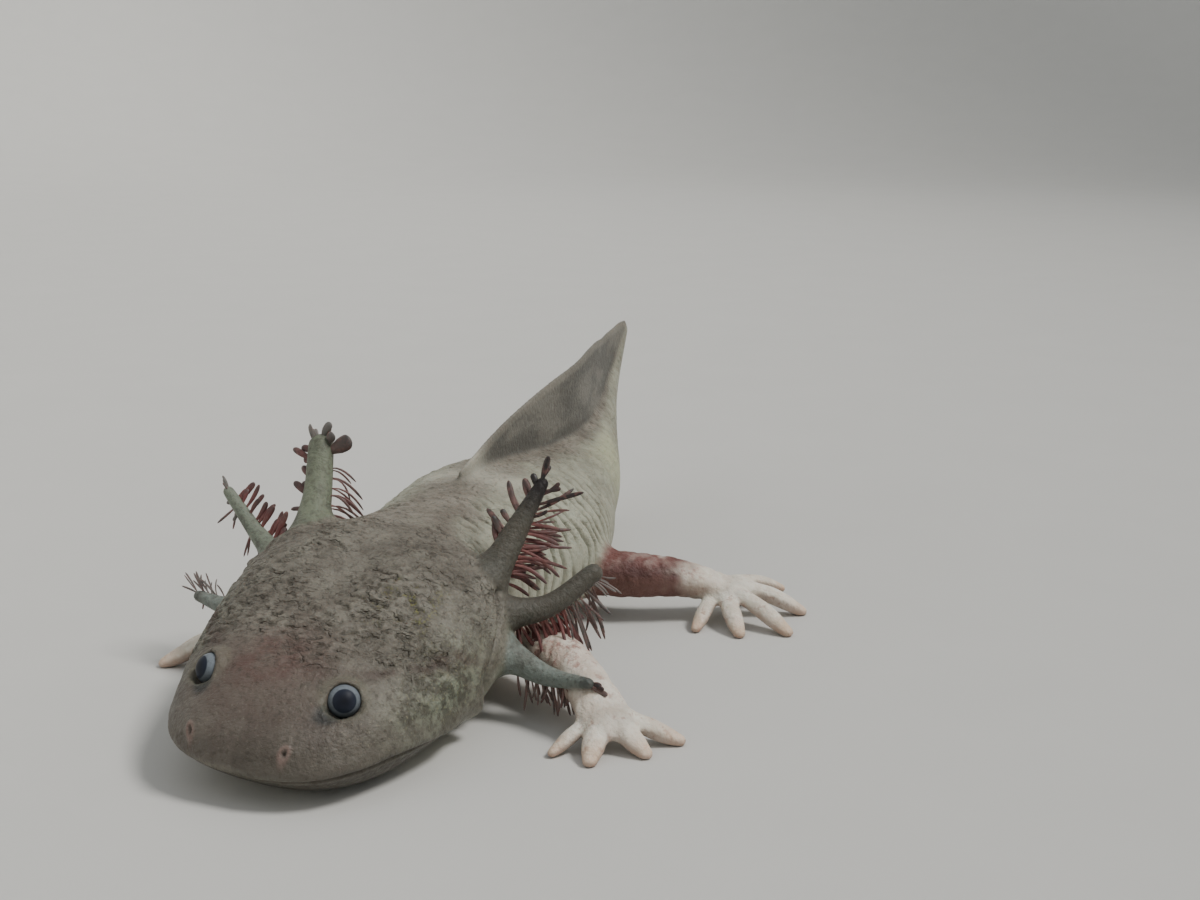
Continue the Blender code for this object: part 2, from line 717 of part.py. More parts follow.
def gill_mesh(name, label, side):
    """A gill stalk with two rows of filaments along its rear edge."""
    _, _, back = spine_frame(0.0)
    track = gill_track(name, label, side)
    length = track.keys[-1]
    start = FILAMENTS_START * length
    longest, swept, hang = GILL_FRINGES[name]
    rear = (back * swept - UP * hang).normalized()
    filaments = []
    for i in range(FILAMENTS_PER_ROW):
        along = start + (length - start) * i / (FILAMENTS_PER_ROW - 1)
        across = forward_at(track, along).cross(back).normalized() * ROW_SPREAD
        # Filaments are longest in the middle of the stalk.
        reach = longest * (0.55 + 0.45 * math.sin(math.pi * (0.15 + 0.8 * i / FILAMENTS_PER_ROW)))
        filaments.append(filament_mesh(track, along, rear + across, reach))
        filaments.append(filament_mesh(track, along, rear - across, reach))
    rings = tube_rings(track, 0.0, length, 7, GILL_SIDES, back, round_tip=True)
    return boolean(loft_mesh(name, rings), "UNION", *filaments)


def build_gills(animal, grown_body):
    for label, side, arm in (("left", 1, FORE_LEFT), ("right", -1, FORE_RIGHT)):
        for name in GILL_FRINGES:
            whole = gill_mesh(name, label, side)
            gill = boolean(whole, "DIFFERENCE", grown_body.copy(), grown_limb_mesh(arm))
            anchor = Vector(gill_track(name, label, side).at(0.0)[:3])
            animal.add("gill_" + name + "_" + label, gill, anchor, "gill")


def main():
    clear_scene()
    animal = Animal()
    grown_body = grown_body_mesh()
    build_head(animal)
    build_body(animal)
    build_fins(animal)
    build_limbs(animal, grown_body)
    build_gills(animal, grown_body)
    bpy.data.meshes.remove(grown_body)
    animal.centre()


main()
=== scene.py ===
import math

import bpy
import numpy as np
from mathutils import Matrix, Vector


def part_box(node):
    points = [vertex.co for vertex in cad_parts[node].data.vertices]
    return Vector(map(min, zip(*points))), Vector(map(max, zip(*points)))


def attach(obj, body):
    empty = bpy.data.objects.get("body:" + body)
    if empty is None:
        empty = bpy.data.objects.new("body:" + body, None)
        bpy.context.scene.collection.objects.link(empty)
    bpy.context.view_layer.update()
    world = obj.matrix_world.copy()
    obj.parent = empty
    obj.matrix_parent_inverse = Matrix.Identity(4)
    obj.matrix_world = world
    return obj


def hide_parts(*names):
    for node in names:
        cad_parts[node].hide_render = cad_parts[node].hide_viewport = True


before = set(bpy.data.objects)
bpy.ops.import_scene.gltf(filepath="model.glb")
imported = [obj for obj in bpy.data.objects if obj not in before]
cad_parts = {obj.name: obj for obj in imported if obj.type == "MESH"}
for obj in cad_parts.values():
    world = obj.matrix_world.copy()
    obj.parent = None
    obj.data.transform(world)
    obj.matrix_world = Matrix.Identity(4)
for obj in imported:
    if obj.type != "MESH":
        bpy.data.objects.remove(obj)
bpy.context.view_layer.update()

import openvdb as vdb
from mathutils import Vector, noise

# The looks of the axolotl: one skin over all the flesh, two eyes and six gill fringes.
# Lengths are in millimetres, in the frame that the part was drawn in: the animal faces
# -Y with its left side towards +X. SHIFT, worked out below, takes them to the frame.

MM = 0.001

# ---- the body's sizes

# The spine seen from above, from the snout to just past the tip of the tail.
SPINE_PLAN = (
    (-1.5, -6), (0.8, 13.6), (2, 33.2), (2.6, 48), (4, 63), (4.8, 84), (5.6, 106),
    (8, 131), (9, 146), (7, 166), (3.8, 186), (0.4, 206), (-1.4, 230),
)

# Distance along the spine, half width, the heights of the back, of the widest level and
# of the underside, and how boxy the back is (2 is round).
STATIONS = (
    (0, 4.8, 9.4, 7.2, 5.6, 2.3),  # snout
    (1.2, 9.4, 11.4, 7.2, 4.2, 2.3),
    (3.5, 13.7, 13.3, 7.2, 2.8, 2.3),  # nostrils
    (7.5, 17.3, 15.8, 7.6, 1.4, 2.3),
    (13.6, 20.4, 18.8, 8.4, 0.4, 2.4),  # eyes
    (24, 23.6, 23.2, 10.2, 0, 2.4),  # corners of the mouth
    (38, 25.7, 28.4, 13.4, 0.4, 2.4),  # cheeks
    (48, 25.4, 31.4, 16, 0.8, 2.4),
    (55, 23.4, 32, 16.2, 0.8, 2.4),  # gills
    (63, 20.2, 31.6, 15.2, 0.6, 2.35),  # neck
    (72, 19.4, 31.6, 14.6, 0, 2.25),  # shoulders
    (88, 21.4, 32.4, 14.2, -0.6, 2.15),
    (102, 23.4, 32.6, 14, -0.8, 2.1),  # belly
    (116, 22.4, 31.4, 14.2, -0.4, 2.1),  # hips
    (128, 19.2, 30, 14.6, 1, 2.1),
    (140, 14.8, 29.4, 15.4, 3.6, 2.1),  # vent
    (155, 10.6, 29.4, 17.2, 7, 2.1),  # root of the tail
    (174, 7, 29.8, 19.2, 10, 2.1),
    (194, 4.4, 31.2, 22.4, 14.4, 2.1),  # middle of the tail
    (214, 2.6, 34.4, 28.6, 23, 2.1),
    (227, 1.6, 38.4, 35.8, 33.2, 2.1),
    (236, 0.8, 42, 40.8, 39.6, 2.1),  # tip of the tail
)
BODY_LENGTH = 236.0
BELLY_ROUNDNESS = 2.4
HEAD_LEAN = 0.07
LEAN_FADES = (44, 84)

EYE_ALONG = 12.9
EYE_ANGLE = math.radians(53.5)
EYE_RADIUS = 2.75
EYE_SINK = 1.2
EYE_AZIMUTH = math.radians(34)  # how far the eyes look outward from the head's own way
EYE_RISE = math.radians(23)

# Distance along the spine, height of the edge, half thickness at the root.
UPPER_FIN = (
    (87, 34.6, 0.9), (100, 37.4, 1.1), (116, 40.4, 1.2), (132, 43.2, 1.2),
    (155, 45.6, 1.1), (180, 45.8, 1), (204, 43.8, 0.9), (222, 43.4, 0.8),
    (230, 43.6, 0.7), (236, 43.2, 0.5),
)
LOWER_FIN = (
    (142, 3.2, 0.8), (155, 3.6, 1), (180, 5.4, 1), (204, 13, 0.9),
    (222, 25.4, 0.8), (230, 32.6, 0.7), (236, 38.4, 0.5),
)
FIN_EDGE = 0.42  # half thickness along the free edge
FIN_SEAT = 2  # how deep a fin's root lies in the body

# Limbs: the centre line from the trunk to the wrist or ankle, as x and y for each limb,
# and height, half width and half height for each pair.
LIMB_PLACES = {
    ("fore", "left"): ((12, 62), (25, 56), (35.5, 49), (41.6, 43), (46, 37.4)),
    ("fore", "right"): ((-1, 62), (-12, 62), (-21, 60), (-27, 57.2), (-31.6, 54.6)),
    ("hind", "left"): ((13, 106), (24, 102.6), (35, 101.5), (43, 103.6), (49, 106)),
    ("hind", "right"): ((0, 106), (-12, 103), (-23, 104), (-30.5, 107.6), (-35.6, 111.8)),
}
LIMB_SHAPES = {
    "fore": ((10, 6, 6), (9.6, 5.4, 5.4), (9, 4.8, 4.8), (7.8, 4.3, 4.2), (6.2, 4.5, 3.4)),
    "hind": ((9.4, 7, 6.6), (9.2, 6, 5.2), (9.2, 5.4, 4.8), (8.8, 4.8, 4.2), (7.4, 4.6, 3.4)),
}
LIMBS = {
    pair: [(*place, *shape) for place, shape in zip(places, LIMB_SHAPES[pair[0]])]
    for pair, places in LIMB_PLACES.items()
}
# Digits: direction from the limb's heading in degrees, length from the middle of the
# palm, and half width at the root.
DIGITS = {
    ("fore", "left"): ((-74, 10.8, 1.5), (-34, 10.4, 2.1), (24, 10, 2.1), (62, 13.2, 2)),
    ("fore", "right"): ((84, 9.6, 1.5), (42, 9.6, 2), (0, 12.5, 2), (-42, 11.5, 1.9)),
    ("hind", "left"): (
        (-123, 12.4, 1.7), (-84, 14.6, 2), (-52, 18.6, 2.1), (-6, 17.4, 2.1), (26, 16.4, 1.7),
    ),
    ("hind", "right"): (
        (80, 11, 1.6), (44, 12, 1.9), (10, 15.5, 2), (-20, 17, 2), (-46, 15, 1.6),
    ),
}
PALM_LENGTHS = {"fore": 5.2, "hind": 8.4}
# The heights of the palm's middle and of its knuckles. For the same two: share of its
# length, width as a share of the wrist's, and half height.
PALM_HEIGHTS = {"fore": (5.4, 4.4), "hind": (6.4, 5)}
PALM_SHAPE = ((0.5, 1.06, 2.6), (1, 0.9, 1.95))
# A digit: share of the way along it, width as a share of the root's, and height.
DIGIT_SHAPE = (
    (0, 1, 5), (0.3, 0.98, 4.5), (0.45, 0.92, 3.8), (0.62, 1, 2.9), (0.8, 0.94, 1.85),
    (1, 0.66, 0.8),
)
DIGIT_FLATNESS = 0.85
DIGIT_ARCH = 4
# How far each digit arches up off the floor, and how high its tip is lifted.
DIGIT_LIFTS = {("hind", "left"): ((0.3, 0), (0.3, 0), (0.9, 0), (1.3, 0), (1.2, 2.3))}

# Gills: where each starts, as distance along the spine, out and up; its bend and its tip,
# as offsets from there (out, back, up); and its half widths.
GILLS = {
    ("upper", "left"): ((53.5, 20.4, 24.6), (2.6, 7, 8.6), (5.4, 12, 16.2), (3.4, 2.2, 1.2)),
    ("middle", "left"): ((52, 22.4, 19.4), (7.4, 5, 0.8), (14, 12, 6), (3.2, 2.2, 1.8)),
    ("lower", "left"): ((49.5, 23.4, 14.2), (10, -1, -3.5), (20, -4.7, -2.3), (3.2, 1.9, 1)),
    ("upper", "right"): ((53.5, 16.4, 25.4), (2.4, 8, 8), (5, 14, 16), (4, 2.8, 2.5)),
    ("middle", "right"): ((52, 19.8, 21.2), (8, 4, 3.5), (18.5, 8.5, 11), (3.2, 1.9, 1.1)),
    ("lower", "right"): ((49.5, 21.6, 15.4), (9.5, 1, -3), (19, 3, -2.5), (3, 2, 1.1)),
}
SIDES = {"left": 1, "right": -1}
UPWARD = np.array((0.0, 0.0, 1.0))

# ---- the camera

CAMERA_PLACE = (121.78, -225.16, 115.6)
CAMERA_TILT = math.radians(76.8)
CAMERA_TURN = math.radians(16)
CAMERA_LENS = 50


# ---- the curves

class Track:
    """A smooth curve through rows of (key, value, value, ...)."""

    def __init__(self, rows):
        rows = np.array(rows, dtype=float)
        self.keys = rows[:, 0]
        self.values = rows[:, 1:]
        steps = np.diff(self.keys)[:, None]
        slopes = np.diff(self.values, axis=0) / steps
        inner = (slopes[:-1] * steps[1:] + slopes[1:] * steps[:-1]) / (steps[1:] + steps[:-1])
        self.tangents = np.vstack((slopes[:1], inner, slopes[-1:]))

    def at(self, keys):
        """The values at each key, by cubic Hermite interpolation: one row for each."""
        keys = np.clip(np.atleast_1d(keys), self.keys[0], self.keys[-1])
        i = np.clip(np.searchsorted(self.keys, keys, side="right") - 1, 0, len(self.keys) - 2)
        step = (self.keys[i + 1] - self.keys[i])[:, None]
        t = (keys - self.keys[i])[:, None] / step
        bend = t * t * (3 - 2 * t)
        start = self.values[i] * (1 - bend) + self.values[i + 1] * bend
        swing = t * (1 - t) ** 2 * self.tangents[i] - t * t * (1 - t) * self.tangents[i + 1]
        return start + step * swing


def path_track(points):
    """A Track through points, keyed by the length of the path."""
    points = np.array(points, dtype=float)
    hops = np.linalg.norm(np.diff(points[:, :3], axis=0), axis=1)
    along = np.concatenate(((0,), np.cumsum(hops)))
    return Track(np.column_stack((along, points)))


def unit(vectors):
    return vectors / np.linalg.norm(vectors, axis=-1, keepdims=True)


def smooth(low, high, values):
    """0 below low, 1 above high and an S-curve between."""
    t = np.clip((values - low) / (high - low), 0, 1)
    return t * t * (3 - 2 * t)


def span(start, rise, fall, end, values):
    """0 outside start and end, 1 from rise to fall, and S-curves between."""
    return smooth(start, rise, values) * smooth(end, fall, values)


def hill(centre, width, values):
    """1 at the centre, falling to nothing a few widths away."""
    return np.exp(-((values - centre) / width) ** 2)


SPINE = Track(np.column_stack((
    np.concatenate(((0,), np.cumsum(np.linalg.norm(np.diff(SPINE_PLAN, axis=0), axis=1)))),
    SPINE_PLAN,
)))
SECTIONS = Track(STATIONS)


def spine_frames(along):
    """Centre on the floor, leftward and backward directions at distances along."""
    inside = np.clip(along, 1, SPINE.keys[-1] - 1)
    back = unit(SPINE.at(inside + 1) - SPINE.at(inside - 1))
    ends = np.clip(along, 0, SPINE.keys[-1])
    centre = SPINE.at(ends) + back * (along - ends)[:, None]
    left = np.column_stack((back[:, 1], -back[:, 0]))
    flat = np.zeros((len(centre), 1))
    return np.hstack((centre, flat)), np.hstack((left, flat)), np.hstack((back, flat))


def directions(along=0):
    """The leftward and backward directions at one distance along the spine."""
    _, left, back = spine_frames(np.array((along,)))
    return left[0], back[0]


def lean_at(along):
    """How much the head is tipped to one side, fading out behind the gills."""
    start, end = LEAN_FADES
    return HEAD_LEAN * smooth(start, end, start + end - along)


def body_places(along, out, height):
    """Points given by distance along the spine, distance to the left and height."""
    centre, left, _ = spine_frames(along)
    places = centre + left * out[:, None]
    places[:, 2] += height - lean_at(along) * out
    return places


def body_points(along, angle):
    """Points of the plain body at angles round its section, from the left side up."""
    half, top, level, bottom, back_roundness = SECTIONS.at(along).T
    roundness = np.where(np.sin(angle) >= 0, back_roundness, BELLY_ROUNDNESS)
    across = np.sign(np.cos(angle)) * np.abs(np.cos(angle)) ** (2 / roundness)
    upward = np.sign(np.sin(angle)) * np.abs(np.sin(angle)) ** (2 / roundness)
    rise = np.where(np.sin(angle) >= 0, top - level, level - bottom)
    return body_places(along, half * across, level + rise * upward)


def eye_frame(side):
    """The centre of an eye and the direction it looks in, lower than the skin faces."""
    angle = EYE_ANGLE if side > 0 else math.pi - EYE_ANGLE
    near = body_points(
        np.array((EYE_ALONG, EYE_ALONG + 1, EYE_ALONG - 1, EYE_ALONG, EYE_ALONG)),
        np.array((angle, angle, angle, angle + 0.05, angle - 0.05)),
    )
    normal = unit(np.cross(near[1] - near[2], near[3] - near[4]))
    normal *= math.copysign(1, normal[2])
    left, back = directions(EYE_ALONG)
    level = left * side * math.sin(EYE_AZIMUTH) - back * math.cos(EYE_AZIMUTH)
    look = level * math.cos(EYE_RISE) + np.array((0, 0, math.sin(EYE_RISE)))
    return near[0] - normal * EYE_SINK, look


LEFT_EYE = [sum(pair) / 2 for pair in zip(*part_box("eye_left"))]
SHIFT = np.array(LEFT_EYE) - eye_frame(1)[0] * MM


# ---- closed surfaces

def closed_tube(rings):
    """Points, quads and triangles of a tube through rings, with a fan at each end."""
    rows, sides = rings.shape[:2]
    points = np.vstack((rings.reshape(-1, 3), rings[0].mean(axis=0), rings[-1].mean(axis=0)))
    here = np.arange(sides)
    after = (here + 1) % sides
    quads = np.vstack([
        np.column_stack((low + here, low + after, low + sides + after, low + sides + here))
        for low in range(0, (rows - 1) * sides, sides)
    ])
    first, last = rows * sides, rows * sides + 1
    end = (rows - 1) * sides
    triangles = np.vstack((
        np.column_stack((np.full(sides, first), after, here)),
        np.column_stack((np.full(sides, last), end + here, end + after)),
    ))
    return points, quads, triangles


def body_surface():
    along = np.concatenate((
        np.array((0, 0.25, 0.6, 1.2, 2.2, 3.2)), np.arange(4, BODY_LENGTH, 1), (BODY_LENGTH,),
    ))
    angle = np.linspace(0, 2 * math.pi, 120, endpoint=False)
    rings = body_points(np.repeat(along, len(angle)), np.tile(angle, len(along)))
    return closed_tube(rings.reshape(len(along), len(angle), 3))


def fin_surface(rows, direction):
    """An upright sheet on the midline, thickest at its root and round along its edge."""
    along = np.arange(rows[0][0], BODY_LENGTH + 0.1, 1)
    height, root = Track(rows).at(along).T
    half, top, _, bottom, _ = SECTIONS.at(along).T
    seat = np.where(direction > 0, top, bottom) - direction * np.minimum(FIN_SEAT, half)
    edge = np.minimum(FIN_EDGE, root)
    rings = [body_places(along, root, seat)]
    for turn in np.linspace(0, math.pi, 7):
        drop = edge * (1 - math.sin(turn))
        rings.append(body_places(along, math.cos(turn) * edge, height - direction * drop))
    rings.append(body_places(along, -root, seat))
    return closed_tube(np.stack(rings, axis=1))


def tube_surface(track, sides=24, step=0.6):
    """An oval tube along a track of x, y, z, half width, half height, with a round tip."""
    end = track.keys[-1]
    tip = track.at(end)[0, 3]
    count = max(int(end / step), 4)
    bends = np.radians((18, 36, 54, 70, 82))
    places = np.concatenate((np.linspace(0, end, count + 1), end + tip * np.sin(bends)))
    shrink = np.concatenate((np.ones(count + 1), np.cos(bends)))
    inside = np.minimum(places, end)
    row = track.at(inside)
    forward = unit(track.at(inside + 0.5)[:, :3] - track.at(inside - 0.5)[:, :3])
    side = unit(np.cross(forward, UPWARD))
    upward = np.cross(side, forward)
    centre = row[:, :3] + forward * (places - inside)[:, None]
    turn = np.linspace(0, 2 * math.pi, sides, endpoint=False)[None, :, None]
    wide, high = ((row[:, i] * shrink)[:, None, None] for i in (3, 4))
    rings = centre[:, None] + side[:, None] * (wide * np.cos(turn))
    return closed_tube(rings + upward[:, None] * (high * np.sin(turn)))


# ---- the distances

VOXEL = 0.35
BAND = 5  # distances are true up to this far from a surface
TRANSFORM = vdb.createLinearTransform(voxelSize=VOXEL)


class Field:
    """Distances to a surface on a grid of voxels, negative inside."""

    def __init__(self, start, shape):
        self.start = start
        self.values = np.full(shape, BAND, dtype=np.float32)

    def window(self, low, high):
        """The slices that hold the box between two points, and their first voxel."""
        first = np.maximum(np.floor(low / VOXEL).astype(int), self.start)
        last = np.minimum(np.ceil(high / VOXEL).astype(int) + 1, self.start + self.values.shape)
        cut = tuple(slice(a, b) for a, b in zip(first - self.start, last - self.start))
        return cut, first

    def measure(self, surface):
        """The distances to a closed surface in a window round it."""
        points, quads, triangles = surface
        cut, first = self.window(points.min(axis=0) - BAND, points.max(axis=0) + BAND)
        grid = vdb.FloatGrid.createLevelSetFromPolygons(
            points.astype(np.float32), triangles=triangles.astype(np.uint32),
            quads=quads.astype(np.uint32), transform=TRANSFORM, halfWidth=BAND / VOXEL,
        )
        part = np.empty(self.values[cut].shape, dtype=np.float32)
        grid.copyToArray(part, ijk=tuple(int(i) for i in first))
        return cut, part

    def join(self, measured, radius=0):
        """Join a measured surface on, with a fillet of about a radius."""
        cut, part = measured
        here = self.values[cut]
        self.values[cut] = blended(here, part, radius) if radius else np.minimum(here, part)

    def at(self, points):
        """Distances at points, interpolated between the voxels."""
        place = points / VOXEL - self.start
        low = np.clip(np.floor(place).astype(int), 0, np.array(self.values.shape) - 2)
        t = np.clip(place - low, 0, 1)
        total = np.zeros(len(points))
        for corner in np.ndindex(2, 2, 2):
            weight = np.prod(np.where(corner, t, 1 - t), axis=1)
            i, j, k = (low + corner).T
            total += weight * self.values[i, j, k]
        return total


def blended(first, second, radius):
    """The nearer of two distances, with a fillet of about that radius between them."""
    share = np.clip(0.5 + 0.5 * (second - first) / radius, 0, 1)
    return second + (first - second) * share - radius * share * (1 - share)


# ---- limbs and gills

def limb_surfaces(pair):
    """The surfaces of a leg with their kinds, the limb first, and its digits' tips."""
    kind, _ = pair
    track = path_track(LIMBS[pair])
    end = track.at(track.keys[-1])[0]
    before = track.at(track.keys[-1] - 1)[0]
    heading = math.atan2(end[1] - before[1], end[0] - before[0])
    forward = np.array((math.cos(heading), math.sin(heading), 0)) * PALM_LENGTHS[kind]
    heights = PALM_HEIGHTS[kind]
    rows = [*LIMBS[pair]]
    for (share, width, high), height in zip(PALM_SHAPE, heights):
        place = end[:3] + forward * share
        rows.append((place[0], place[1], height, end[3] * width, high))
    surfaces, tips = [("limb", tube_surface(path_track(rows)))], []
    middle = end[:3] + forward * PALM_SHAPE[0][0]
    lifts = DIGIT_LIFTS.get(pair, ((0, 0),) * len(DIGITS[pair]))
    for (angle, reach, half), (arch, lift) in zip(DIGITS[pair], lifts):
        turned = heading + math.radians(angle)
        way = np.array((math.cos(turned), math.sin(turned), 0))
        rows = []
        for share, width, height in DIGIT_SHAPE:
            place = middle + way * reach * share
            up = height + DIGIT_ARCH * arch * share * (1 - share) + lift * share
            up += (heights[1] - PALM_HEIGHTS["fore"][1]) * (1 - share)
            rows.append((place[0], place[1], up, half * width, half * width * DIGIT_FLATNESS))
        surfaces.append(("digit", tube_surface(path_track(rows), 16, 0.5)))
        tips.append(np.array(rows[-1][:3]))
    return surfaces, tips


def aimed(label, way):
    """A step outward to one side, backward and upward, as the head lies."""
    left, back = directions()
    return left * SIDES[label] * way[0] + back * way[1] + UPWARD * way[2]


def gill_track(name, label):
    """The centre line of a gill stalk, with its half width."""
    base, bend, tip, radii = GILLS[name, label]
    along, out, height = (np.array((number,)) for number in base)
    foot = body_places(along, SIDES[label] * out, height)[0]
    places = (foot, foot + aimed(label, bend), foot + aimed(label, tip))
    return path_track([(*place, radius, radius) for place, radius in zip(places, radii)])


# ---- the skin

KINDS = ("body", "fin", "limb", "digit", "gill")
GRID_BOX = ((-55, -15, -4.5), (83, 239, 50))
# About how wide the fillets are between the fins, limbs and gills and the body, and
# between the digits and the palm.
FILLETS = {"fin": 1.6, "limb": 4, "gill": 4, "digit": 1.5}


def build_fields():
    """The blended skin, the plain distance to each kind of part, and the digits' tips."""
    low, high = (np.array(corner) / VOXEL for corner in GRID_BOX)
    start = np.floor(low).astype(int)
    shape = np.ceil(high).astype(int) - start + 1
    fields = {name: Field(start, shape) for name in ("skin",) + KINDS}
    fields["body"].join(fields["body"].measure(body_surface()))
    trunk, skin = fields["body"].values, fields["skin"].values
    skin[:] = trunk

    attached = [("fin", fin_surface(UPPER_FIN, 1)), ("fin", fin_surface(LOWER_FIN, -1))]
    attached += [("gill", tube_surface(gill_track(*gill), 20, 0.5)) for gill in GILLS]
    for kind, surface in attached:
        cut, part = fields[kind].measure(surface)
        fields[kind].join((cut, part))
        skin[cut] = np.minimum(skin[cut], blended(trunk[cut], part, FILLETS[kind]))

    tips = []
    for pair in LIMBS:
        surfaces, ends = limb_surfaces(pair)
        tips += ends
        leg = Field(start, shape)
        for kind, surface in surfaces:
            measured = leg.measure(surface)
            leg.join(measured, FILLETS[kind] if kind == "digit" else 0)
            fields[kind].join(measured)
        np.minimum(skin, blended(trunk, leg.values, FILLETS["limb"]), out=skin)

    carve_eyes(fields["skin"])
    floor = (np.arange(shape[2]) + start[2]) * VOXEL
    np.maximum(skin, -floor.astype(np.float32), out=skin)
    return fields, np.array(tips)


EYE_RIM = 0.7  # how far the skin's rim stands out round the eye
EYE_CLEARANCE = 0.06  # between an eye and its socket
EYE_SHOWS = 0.9  # the rim ends this far in front of the eye's middle
HOLLOW = (3.3, 0.42)  # radius of the hollow in front of the eye, and its taper
EYE_FILLETS = (1.3, 1.2)  # of the hollow and of the rim
EYE_REACH = 9  # how far from an eye's middle the skin is carved


def carve_eyes(field):
    """Raise a rim round each eye, and hollow out its socket and the skin before it."""
    for side in SIDES.values():
        centre, look = eye_frame(side)
        cut, first = field.window(centre - EYE_REACH, centre + EYE_REACH)
        axes = [(np.arange(n) + a) * VOXEL for n, a in zip(field.values[cut].shape, first)]
        place = np.stack(np.meshgrid(*axes, indexing="ij"), axis=-1) - centre
        distance = np.linalg.norm(place, axis=-1).astype(np.float32)
        height = (place @ look).astype(np.float32)
        ahead = height - EYE_SHOWS
        across = np.sqrt(np.maximum(distance ** 2 - height ** 2, 0))
        radius, taper = HOLLOW
        cone = np.maximum(-ahead, across - radius + taper * ahead)
        hollowed = -blended(-field.values[cut], cone, EYE_FILLETS[0])
        collar = np.maximum(distance - (EYE_RADIUS + EYE_RIM), ahead)
        raised = blended(hollowed, collar, EYE_FILLETS[1])
        field.values[cut] = np.maximum(raised, EYE_RADIUS + EYE_CLEARANCE - distance)


def skin_mesh(field):
    """Points and quads of the field's surface, with the faces pointing out."""
    grid = vdb.FloatGrid(2 * VOXEL)
    grid.transform = TRANSFORM
    grid.gridClass = vdb.GridClass.LEVEL_SET
    near = np.clip(field.values, -2 * VOXEL, 2 * VOXEL)
    grid.copyFromArray(near, ijk=tuple(int(i) for i in field.start))
    points, quads = grid.convertToQuads()
    points = points.astype(float)
    quads = quads.astype(np.int64)
    if np.sum(crosses(points, quads) * points[quads].mean(axis=1)) < 0:
        quads = quads[:, ::-1]
    return points, quads


def crosses(points, quads):
    """The cross product of each quad's diagonals, which is along its normal."""
    corners = points[quads]
    return np.cross(corners[:, 2] - corners[:, 0], corners[:, 3] - corners[:, 1])


def gathered(owners, values, count):
    """The sum of the rows of values that belong to each of a number of owners."""
    return np.stack([
        np.bincount(owners, weights=column, minlength=count) for column in values.T
    ], axis=1)


def relaxed(points, quads, shares):
    """Points moved part of the way to their neighbours' mean, once for each share."""
    edges = np.vstack([quads[:, (i, (i + 1) % 4)] for i in range(4)])
    number = np.bincount(edges[:, 0], minlength=len(points))[:, None]
    for share in shares:
        mean = gathered(edges[:, 0], points[edges[:, 1]], len(points)) / number
        points = points + share * (mean - points)
    return points


def normals_of(points, quads):
    across = crosses(points, quads)
    return unit(sum(gathered(quads[:, i], across, len(points)) for i in range(4)) + 1e-12)


BATCHES = 60  # the points are placed in this many turns, to save memory


class Places:
    """Where each point of the skin lies on the animal."""

    def __init__(self, points, fields, tips):
        self.points = points
        stops = np.arange(-4, BODY_LENGTH + 4, 0.5)
        centre, left, back = spine_frames(stops)
        nearest = np.empty(len(points), dtype=int)
        for rows in np.array_split(np.arange(len(points)), BATCHES):
            gaps = points[rows, None, :2] - centre[None, :, :2]
            nearest[rows] = np.argmin(np.sum(gaps * gaps, axis=2), axis=1)
        offset = points - centre[nearest]
        offset[:, 2] = 0
        self.along = stops[nearest] + np.sum(offset * back[nearest], axis=1)
        self.out = np.sum(offset * left[nearest], axis=1)
        self.height = points[:, 2] + lean_at(self.along) * self.out
        half, top, level, bottom, _ = SECTIONS.at(self.along).T
        upper = self.height > level
        rise = (self.height - level) / np.where(upper, top - level, level - bottom)
        self.angle = np.degrees(np.arctan2(rise, np.abs(self.out / half)))
        self.distance = {name: field.at(points) for name, field in fields.items()}
        self.body = self.share("body")
        self.tip = nearness(points, tips, 3)
        eyes = [eye_frame(side)[0] for side in SIDES.values()]
        self.from_eye = np.min([np.linalg.norm(points - eye, axis=1) for eye in eyes], axis=0)

    def share(self, name, spread=1.5):
        """How far a point belongs to one kind of part, from 0 to 1."""
        others = [self.distance[other] for other in KINDS if other != name]
        return smooth(-spread, spread, np.minimum.reduce(others) - self.distance[name])


def nearness(points, spots, width):
    """1 at any of the spots, falling to nothing a few widths away."""
    found = np.zeros(len(points))
    for spot in spots:
        found = np.maximum(found, hill(0, width, np.linalg.norm(points - spot, axis=1)))
    return found


def lumps(points, spacing, seed, octaves=1):
    """Smooth noise, with lumps about a spacing apart."""
    shift = Vector((seed * 17.3, seed * 5.1, seed * 9.7))
    return np.array([
        noise.fractal(Vector(point) / spacing + shift, 1, 2, octaves) for point in points
    ])


# ---- the skin's relief

# The crease of the mouth: distance along the spine and height.
MOUTH_LINE = (
    (0, 5.2), (5, 6.2), (10.2, 6.8), (14, 7.2), (19, 7.2), (26, 6.5), (31, 6.2),
)
NOSTRIL = (1.8, 8.7)  # distance along the spine and out
# The free edge of the gill cover: angle up the section and distance along the spine.
COVER_EDGE = (
    (-90, 41), (-60, 40), (-20, 39), (6, 40.5), (17, 45), (30, 50),
    (44, 53), (60, 55),
)
FURROW = (9.6, 12.2, 2.5, 2.1)  # distance along the spine, out, and its half sizes

# Swellings of the head, and hollows below 0: how high, then where along the spine and how
# far out on both sides, each with its spread.
HEAD_FORMS = (
    (0.8, 40, 8, 12, 6.5),  # jaw muscles
    (-0.6, 42, 10, 0, 3.2),  # the groove between them
    (0.5, 13, 6, 0, 7),  # between the eyes
    (-0.5, 6, 3.5, 0, 5),  # the dip of the snout
    (0.5, 3, 3, 9, 3.5),  # round the nostrils
)


def folds_of(phase):
    """0 on the ridges and 1 in the narrow valleys of folds, one for each whole phase."""
    return smooth(0.4, 1, np.abs((phase % 1) - 0.5) * 2)


